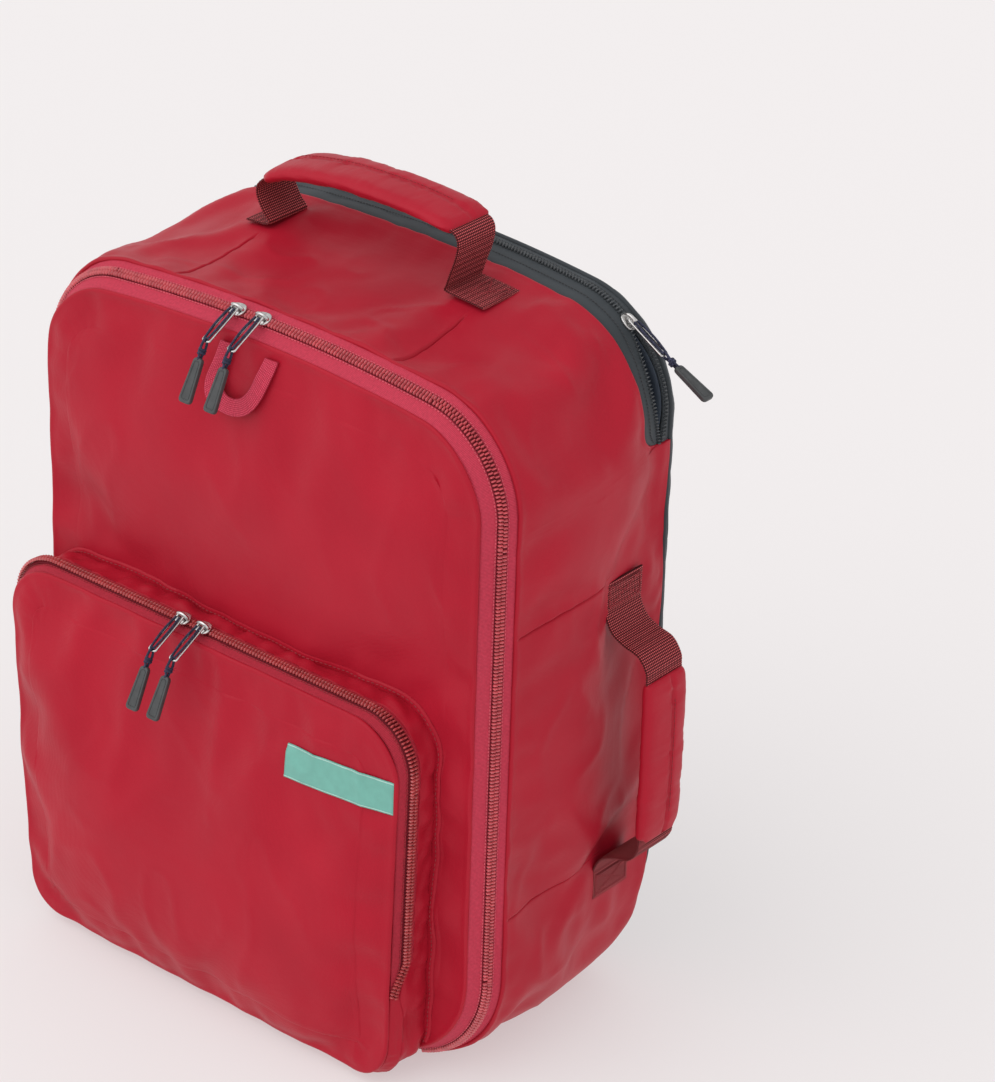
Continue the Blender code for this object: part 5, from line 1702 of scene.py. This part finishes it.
# ---------------------------------------------------------------- handles
LEFT_BEND = ((-0.0872, 0.0034), (-0.0890, 0.0062), (-0.0935, 0.0110))
RIGHT_BEND = ((0.0676, 0.0038),)
top_path = [top_point(x, TOP_HANDLE_Y, 0.0024) for x in (-0.1080, -0.1000, -0.0920)]
for x, z in (*LEFT_BEND, *LEFT_LEG, *GRIP, *RIGHT_LEG, *RIGHT_BEND):
    top_path.append(Vector((x, TOP_HANDLE_Y, TOP_SURFACE + z)))
top_path += [top_point(x, TOP_HANDLE_Y, 0.0024) for x in (0.0720, 0.0800, 0.0900, 0.1010)]
top_line = smooth_path(top_path, 0.0013)
top_web = belt("top_handle_belt", top_line, WIDE_Y, WEB_WIDE, WEB_THICK, WEBBING, rib=0.00016)
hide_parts("top_handle_webbing", "top_handle_anchor_left", "top_handle_anchor_right")
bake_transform(top_web)

side_base = SIDE_SURFACE + 0.0022
SIDE_SEWN = (0.3490, 0.3400, 0.3310, 0.3250)
side_path = [Vector((side_base, SIDE_HANDLE_Y, z)) for z in SIDE_SEWN]
side_path += side_way(SIDE_LEG + SIDE_GRIP)
side_path += [Vector((side_base, SIDE_HANDLE_Y, 2 * SIDE_MIDDLE - z)) for z in reversed(SIDE_SEWN)]
side_line = smooth_path(side_path, 0.0013)
side_web = belt("side_handle_belt", side_line, WIDE_Y, WEB_WIDE, WEB_THICK, WEBBING, rib=0.00016)
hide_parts("side_handle_webbing", "side_handle_anchor_top", "side_handle_anchor_bottom")
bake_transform(side_web)


def boxed(ua, ub, place):
    """A rectangle of stitches with a cross in it, through place(u, v), where v is across the webbing."""
    va, vb = -(WEB_WIDE / 2 - 0.003), WEB_WIDE / 2 - 0.003
    route = ((ua, va), (ub, va), (ub, vb), (ua, vb), (ua, va), (ub, vb), (ub, va), (ua, vb))
    return [place(u, v) for u, v in route]


def polyline(points, step):
    """Straight lines through these points, evenly spaced."""
    out = []
    for a, b in zip(points, points[1:]):
        count = max(1, round((b - a).length / step))
        out += [a.lerp(b, k / count) for k in range(count)]
    return [*out, points[-1]]


def straight_stitches(name, points, normal):
    fine = polyline(points, 0.0032)
    places = np.array([tuple((a + b) / 2) for a, b in zip(fine, fine[1:])])
    ahead = np.array([tuple((b - a).normalized()) for a, b in zip(fine, fine[1:])])
    up = np.array([tuple(normal)] * len(places))
    return repeated(name, lozenge(0.0023, 0.0008, 0.0006), places, ahead, np.cross(up, ahead), up, THREAD)


for label, xa, xb in (("left", -0.1055, -0.0925), ("right", 0.0800, 0.0985)):
    box = boxed(xa, xb, lambda u, v: top_point(u, TOP_HANDLE_Y + v, 0.0034))
    ride_all("shell", "webbing", straight_stitches(f"top_anchor_stitch_{label}", box, Vector((0, 0, 1))))
for label, za, zb in (("top", 0.3305, 0.3465), ("bottom", 0.1055, 0.1215)):
    box = boxed(za, zb, lambda u, v: Vector((SIDE_SURFACE + 0.0032, SIDE_HANDLE_Y + v, u)))
    ride_all("shell", "webbing", straight_stitches(f"side_anchor_stitch_{label}", box, Vector((1, 0, 0))))

SEAM_AT = 0.004  # the sleeve's closing seam, off the middle of its outer face


def sleeve_creases(places, wide, out):
    """The groove of a sleeve's closing seam, with small wrinkles beside it, for press()."""
    last = len(places) - 1

    def crease(point, normal):
        k = min(range(len(places)), key=lambda i: (places[i] - point).length_squared)
        across = (point - places[k]).dot(wide[k])
        facing = max(0.0, normal.dot(out[k]))
        line = -0.0016 * groove(across - SEAM_AT, 0.0016) * facing
        run = k * 0.005
        soft = 0.0009 * noise.noise(Vector((run / 0.014, across / 0.02, 3.0)))
        small = noise.noise(Vector((run / 0.007, across / 0.05, 9.0)))
        soft += 0.0013 * small * groove(across - SEAM_AT, 0.007) * facing
        return out[k] * line + normal * soft * min(1.0, min(k, last - k) / 3)

    return crease


for label, (sleeve, path) in sleeves.items():
    places, _ahead, wide, up = ([Vector(row) for row in rows] for rows in frames_along(path, WIDE_Y))
    outward = Vector((0, 0, 1)) if label == "top" else Vector((1, 0, 0))
    turned = 1.0 if up[len(up) // 2].dot(outward) > 0 else -1.0
    out = [way * turned for way in up]
    press(sleeve, sleeve_creases(places, wide, out))
    thick = SLEEVE_THICK * 0.43 + 0.0010
    surface = [places[k] + wide[k] * SEAM_AT + out[k] * thick for k in range(4, len(places) - 4)]
    seam = stitches(f"{label}_sleeve_stitch", surface, WIDE_Y, THREAD, pitch=0.0032)
    ride_all(f"{label}_handle", "red", sleeve, seam)

# ---------------------------------------------------------------- hang loop
# The ribbon's outer and inner edge, as (X, Z) from one end round to the other.
LOOP_OUTER = ((0.0215, 0.4965), (0.0085, 0.4520), (-0.0420, 0.4520), (-0.0290, 0.4965))
LOOP_INNER = ((0.0105, 0.4965), (-0.0010, 0.4630), (-0.0275, 0.4630), (-0.0180, 0.4965))


def loop_point(x, z, rise):
    """The loop stands off the cover towards its lower edge."""
    low = (LOOP_OUTER[0][1] - z) / (LOOP_OUTER[0][1] - LOOP_OUTER[1][1])
    place = Vector((x, cover_y(x, z), z))
    return place + cover_shift(place) - Vector((0, 0.0030 + 0.0050 * low**1.5 + rise, 0))


def rounded(points, rounds=3):
    """Cuts the corners of a line of points until they are round."""
    for _round in range(rounds):
        cut = [points[0]]
        for a, b in zip(points, points[1:]):
            cut += [a.lerp(b, 0.25), a.lerp(b, 0.75)]
        points = [*cut, points[-1]]
    return points


loop_edges = []
for line in (LOOP_OUTER, LOOP_INNER):
    loop_edges.append(polyline(rounded([Vector((*p, 0)) for p in line]), 0.0012))
LOOP_STEPS = 110
rows, uv = [], []
for share in np.linspace(0, 1, 9):
    row = []
    for step in range(LOOP_STEPS + 1):
        t = step / LOOP_STEPS
        outer, inner = [line[round(t * (len(line) - 1))] for line in loop_edges]
        flat = outer.lerp(inner, share)
        crown = 0.0006 * (1 - (2 * share - 1) ** 2) + 0.0007 * noise.noise(Vector((t * 9, share, 1.0)))
        row.append(tuple(loop_point(flat.x, flat.y, crown + 0.0006)))
        uv.append((t * 0.13, share * 0.011))
    rows.append(row)
loop_points = np.array(rows).reshape(-1, 3)
hang_ribbon = build("hang_ribbon", loop_points, grid_faces(9, LOOP_STEPS + 1), LOOP_WEB, uv=uv)
thicken(turn_out(hang_ribbon, BAG_CORE), 0.0014)
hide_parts("hang_loop")
ride_all("hang_loop", "tape", hang_ribbon)

# ---------------------------------------------------------------- label patch
def label_point(x, z, rise):
    """A point on the pocket's cloth, raised off it."""
    away = max(0.0015, min(POCKET_FRONT[1] - x, 0.03))
    place = Vector((x, pocket_y(x, z), z))
    return place + pocket_shift(place) - Vector((0, pocket_height(x, z, away, 0.0) + 0.0010 + rise, 0))


label_x = np.linspace(*LABEL_X, 46)
for name, heights, rise, thick, material in (
    ("label_strip", np.linspace(*LABEL_Z, 15), 0.0012, 0.0009, LABEL),
    ("label_edge_low", np.linspace(0.2241, 0.2248, 3), 0.0014, 0.0003, LABEL_EDGE),
    ("label_edge_high", np.linspace(0.2465, 0.2472, 3), 0.0014, 0.0003, LABEL_EDGE),
):
    rows = [[tuple(label_point(x, z, rise)) for x in label_x] for z in heights]
    strip = thicken(grid_object(name, rows, material, core=POCKET_CORE), thick)
    if name == "label_strip":
        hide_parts("label_patch")
    ride_all("pocket_flap", "label", strip)

# ---------------------------------------------------------------- sliders and pulls
def slab(outline, thick, edge, place, name, material):
    """A flat body with rounded edges, from a closed outline in its own X and Z."""
    outline = [Vector((x, z)) for x, z in outline]
    middle = sum(outline, Vector((0, 0))) / len(outline)
    quarter = ((1.0, 0.0), (0.45, 0.12), (0.12, 0.45), (0.0, 1.0))
    rings = [(edge * inset, edge * high - thick / 2) for inset, high in quarter]
    rings += [(inset, -y) for inset, y in reversed(rings)]
    points = []
    for inset, y in rings:
        for p in outline:
            inward = (middle - p).normalized() * inset
            points.append(place @ Vector((p.x + inward.x, y, p.y + inward.y)))
    return turn_out(build(name, points, body_faces(len(rings), len(outline)), material))


def rounded_bar(long, wide_a, wide_b, corner=0.0024, count=6):
    """The outline of a bar hanging down from 0, wide_a at its top and wide_b at its foot."""
    corners = (
        (wide_b / 2 - corner, corner - long, (0, -90)),
        (corner - wide_b / 2, corner - long, (-90, -180)),
        (corner - wide_a / 2, -corner, (180, 90)),
        (wide_a / 2 - corner, -corner, (90, 0)),
    )
    points = []
    for x, z, turns in corners:
        for angle in np.linspace(*turns, count):
            points.append((x + corner * cos(radians(angle)), z + corner * sin(radians(angle))))
    return points


SLIDER_SCALE = 1.12
SLIDER_HALF = (
    (0.0056, 0.0), (0.0053, 0.0020), (0.0043, 0.0036), (0.0025, 0.0045), (0.0, 0.0046), (-0.0026, 0.0042),
    (-0.0046, 0.0034), (-0.0056, 0.0024), (-0.0058, 0.0),
)
SLIDER_OUTLINE = [(SLIDER_SCALE * x, SLIDER_SCALE * z) for x, z in SLIDER_HALF]
SLIDER_OUTLINE += [(x, -z) for x, z in reversed(SLIDER_OUTLINE[1:-1])]
joints = {joint["name"]: joint for joint in frame["joints"]}


def dip(angle):
    """Forwards and down by that angle below level."""
    return Vector((0, -cos(radians(angle)), -sin(radians(angle))))


def add_slider(prefix, hole, travel, normal):
    """The slider's plate and the crown that its puller hangs from."""
    side = normal.cross(travel).normalized()
    turn = Matrix((travel, -normal, side)).transposed().to_4x4()
    seat = Matrix.Translation(hole - normal * (LUG_RISE + SLIDER_THICK / 2)) @ turn
    plate = slab(SLIDER_OUTLINE, SLIDER_THICK, 0.0008, seat, f"{prefix}_slider_plate", NICKEL)
    arch = []
    for angle in np.linspace(0, pi, 15):
        rise = 0.0042 * sin(angle) ** 0.8 - LUG_RISE - 0.0004
        arch.append(hole + travel * 0.0046 * cos(angle) + normal * rise)
    crown = tube(f"{prefix}_slider_crown", arch, 0.0013, NICKEL, sides=12)
    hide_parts(f"{prefix}_slider")
    ride_all(f"{prefix}_slider", "nickel", plate, crown)


def add_puller(prefix, hole, axis, way, normal):
    """The wire puller, and the two strands of cord that lie along it."""
    half = 0.0030
    loop = []
    for angle in np.linspace(0, pi, 9):
        loop.append(hole + axis * half * 0.85 * cos(angle) - way * 0.0010 * sin(angle))
    for share in (0.15, 0.45, 0.75):
        loop.append(hole - axis * mix(half * 0.9, half, share) + way * PULLER_LONG * share)
    for angle in np.linspace(0, pi, 9):
        loop.append(hole - axis * half * cos(angle) + way * (PULLER_LONG - 0.0016 + 0.0016 * sin(angle)))
    for share in (0.75, 0.45, 0.15):
        loop.append(hole + axis * mix(half * 0.9, half, share) + way * PULLER_LONG * share)
    wire_path = smooth_path([*loop, loop[0]], 0.0010)[:-1]
    wire = tube(f"{prefix}_puller_wire", wire_path, 0.00085, NICKEL, sides=8, closed=True)
    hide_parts(f"{prefix}_puller")
    face = axis.cross(way).normalized()
    face = face if face.dot(normal) > 0 else -face
    strands = []
    for letter, sign in (("a", -1), ("b", 1)):
        lane = []
        for share in np.linspace(0.10, 0.97, 12):
            bow = sin(pi * share)
            aside = axis * sign * (0.0011 + 0.0012 * bow) + face * (0.0013 + 0.0006 * bow)
            lane.append(hole + way * PULLER_LONG * share + aside)
        strand = tube(f"{prefix}_strand_{letter}", smooth_path(lane, 0.0009), 0.00085, NAVY_CORD, sides=8)
        strands.append(strand)
    ride_all(f"{prefix}_puller", "nickel", wire)
    ride_all(f"{prefix}_puller", "cord", *strands)


def add_tab(prefix, hang):
    """The cord loop with its knot, and the rubber tab below it. hang places the loop's top, -Z down."""
    legs = []
    for sign in (1, -1):
        leg = []
        for t in (0.35, 0.7, 1.05):
            across = sign * mix(0.0019, 0.0011, t)
            leg.append(hang @ Vector((sign * 0.0013 * (1 - t), across, -CORD_LONG * t)))
        legs.append(leg)
    over = [hang @ Vector((0, 0.0019 * cos(a), 0.0019 * sin(a))) for a in np.linspace(0, pi, 9)]
    cord_path = smooth_path(legs[0][::-1] + over + legs[1], 0.0008)
    cord = tube(f"{prefix}_cord_loop", cord_path, 0.00095, NAVY_CORD, sides=8)
    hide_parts(f"{prefix}_cord")
    knot_path = []
    for angle in np.linspace(0, 4.2 * pi, 40):
        climb = -0.0052 - 0.0034 * angle / (4.2 * pi)
        knot_path.append(hang @ Vector((0.0019 * cos(angle), 0.0021 * sin(angle), climb)))
    knot = tube(f"{prefix}_knot", knot_path, 0.0010, NAVY_CORD, sides=8)
    ride_all(f"{prefix}_tab", "cord", cord, knot)

    drop = hang @ Matrix.Translation((0, 0, -CORD_LONG + 0.0006))
    tab = slab(rounded_bar(TAB_LONG, 0.0072, 0.0100), 0.0034, 0.0010, drop, f"{prefix}_tab_rubber", RUBBER)
    rim = rounded_bar(TAB_LONG - 0.0050, 0.0042, 0.0064, corner=0.0014)
    ridges = []
    for k, y in enumerate((0.0017, -0.0017)):
        line = [drop @ Vector((x, y, z - 0.0025)) for x, z in rim]
        ridges.append(tube(f"{prefix}_tab_rim_{k}", line, 0.00035, RUBBER, sides=6, closed=True))
    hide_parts(f"{prefix}_tab")
    ride_all(f"{prefix}_tab", "rubber", tab, *ridges)


def pull(prefix, travel, normal, tab_way):
    """A slider, its puller and its tab, hung where the joints are."""
    puller_joint, tab_joint = joints[f"{prefix}_puller_swing"], joints[f"{prefix}_tab_swing"]
    hole, end = Vector(puller_joint["pos_m"]), Vector(tab_joint["pos_m"])
    axis = Vector(puller_joint["axis"])
    add_slider(prefix, hole, travel, normal)
    add_puller(prefix, hole, axis, (end - hole).normalized(), normal)
    add_tab(prefix, Matrix.Translation(end) @ basis(axis, tab_way))


def top_frame(point, t, x):
    """The zip's direction and outward normal on a top edge at this x."""
    s = station_of(x, 0, lambda s: point(s, t), 19.0, 25.0)
    along = (point(s - 0.2, t) - point(s + 0.2, t)).normalized()
    normal = (point(s, t + 0.05) - point(s, t)).cross(along).normalized()
    return along, normal if normal.z > 0 else -normal


TAB_DIP = 62
for side, x in (("left", -0.028), ("right", -0.006)):
    pull(f"main_{side}", *top_frame(zip_point, COIL_AT, x), dip(TAB_DIP))
for side, x in (("left", -0.045), ("right", -0.026)):
    pull(f"pocket_{side}", *top_frame(pocket_strip, 1.02, x), dip(TAB_DIP))
racket_ends = [bag_point(MOUTH_END + step, RACKET_ZIP_Y) for step in (-0.5, 0.5)]
racket_along = (racket_ends[0] - racket_ends[1]).normalized()
racket_normal = racket_along.cross(Vector((0, -1, 0)))
racket_normal = racket_normal if racket_normal.z > 0 else -racket_normal
pull("racket", racket_along, racket_normal, Vector((cos(radians(27)), 0, -sin(radians(27)))))

# ---------------------------------------------------------------- looks of the CAD nodes that stay
STAYING = {"divider_panel": LINING, "ladder_lock_left": PLASTIC, "ladder_lock_right": PLASTIC}
for node, material in STAYING.items():
    obj = frame["nodes"][node]
    obj.material_slots[0].link = "OBJECT"
    obj.material_slots[0].material = material

# ---------------------------------------------------------------- stage, light and camera
studio_floor, floor_shader = start_material("studio_floor", 0.9, specular=0.1)
floor_shader.inputs["Base Color"].default_value = (0.42, 0.408, 0.405, 1)
floor_shader.inputs["Emission Color"].default_value = (0.455, 0.436, 0.440, 1)
floor_shader.inputs["Emission Strength"].default_value = 1.0
corners = [(-30, -30, 0), (30, -30, 0), (30, 30, 0), (-30, 30, 0)]
floor = build("floor", corners, [(0, 1, 2, 3)], studio_floor)


def sun(name, towards, strength, angle):
    data = bpy.data.lights.new(name, "SUN")
    data.energy, data.angle = strength, radians(angle)
    obj = bpy.data.objects.new(name, data)
    bpy.context.scene.collection.objects.link(obj)
    obj.rotation_euler = Vector(towards).to_track_quat("-Z", "Y").to_euler()


sun("key", (0.45, 0.80, -0.85), 1.05, 70)
sun("fill", (-0.9, 0.4, -0.7), 0.30, 80)
world = bpy.data.worlds.new("studio")
world.use_nodes = True
sky = world.node_tree.nodes["Background"]
sky.inputs["Color"].default_value = (0.90, 0.89, 0.89, 1)
sky.inputs["Strength"].default_value = 0.84
bpy.context.scene.world = world
bpy.context.scene.view_settings.view_transform = "Standard"

camera_data = bpy.data.cameras.new("camera")
camera = bpy.data.objects.new("camera", camera_data)
bpy.context.scene.collection.objects.link(camera)
CAMERA_AXES = (
    (0.76595673, 0.64218526, 0.03013933),
    (-0.32418985, 0.34533887, 0.8807054),
    (0.55516774, -0.6843531, 0.47270457),
)
turn = Matrix(CAMERA_AXES).transposed().to_4x4()
camera.matrix_world = Matrix.Translation((1.68923, -1.93164, 1.69591)) @ turn
camera_data.lens = 4259.28 / 1082 * 36
camera_data.sensor_width = 36
camera_data.clip_end = 100
bpy.context.scene.camera = camera
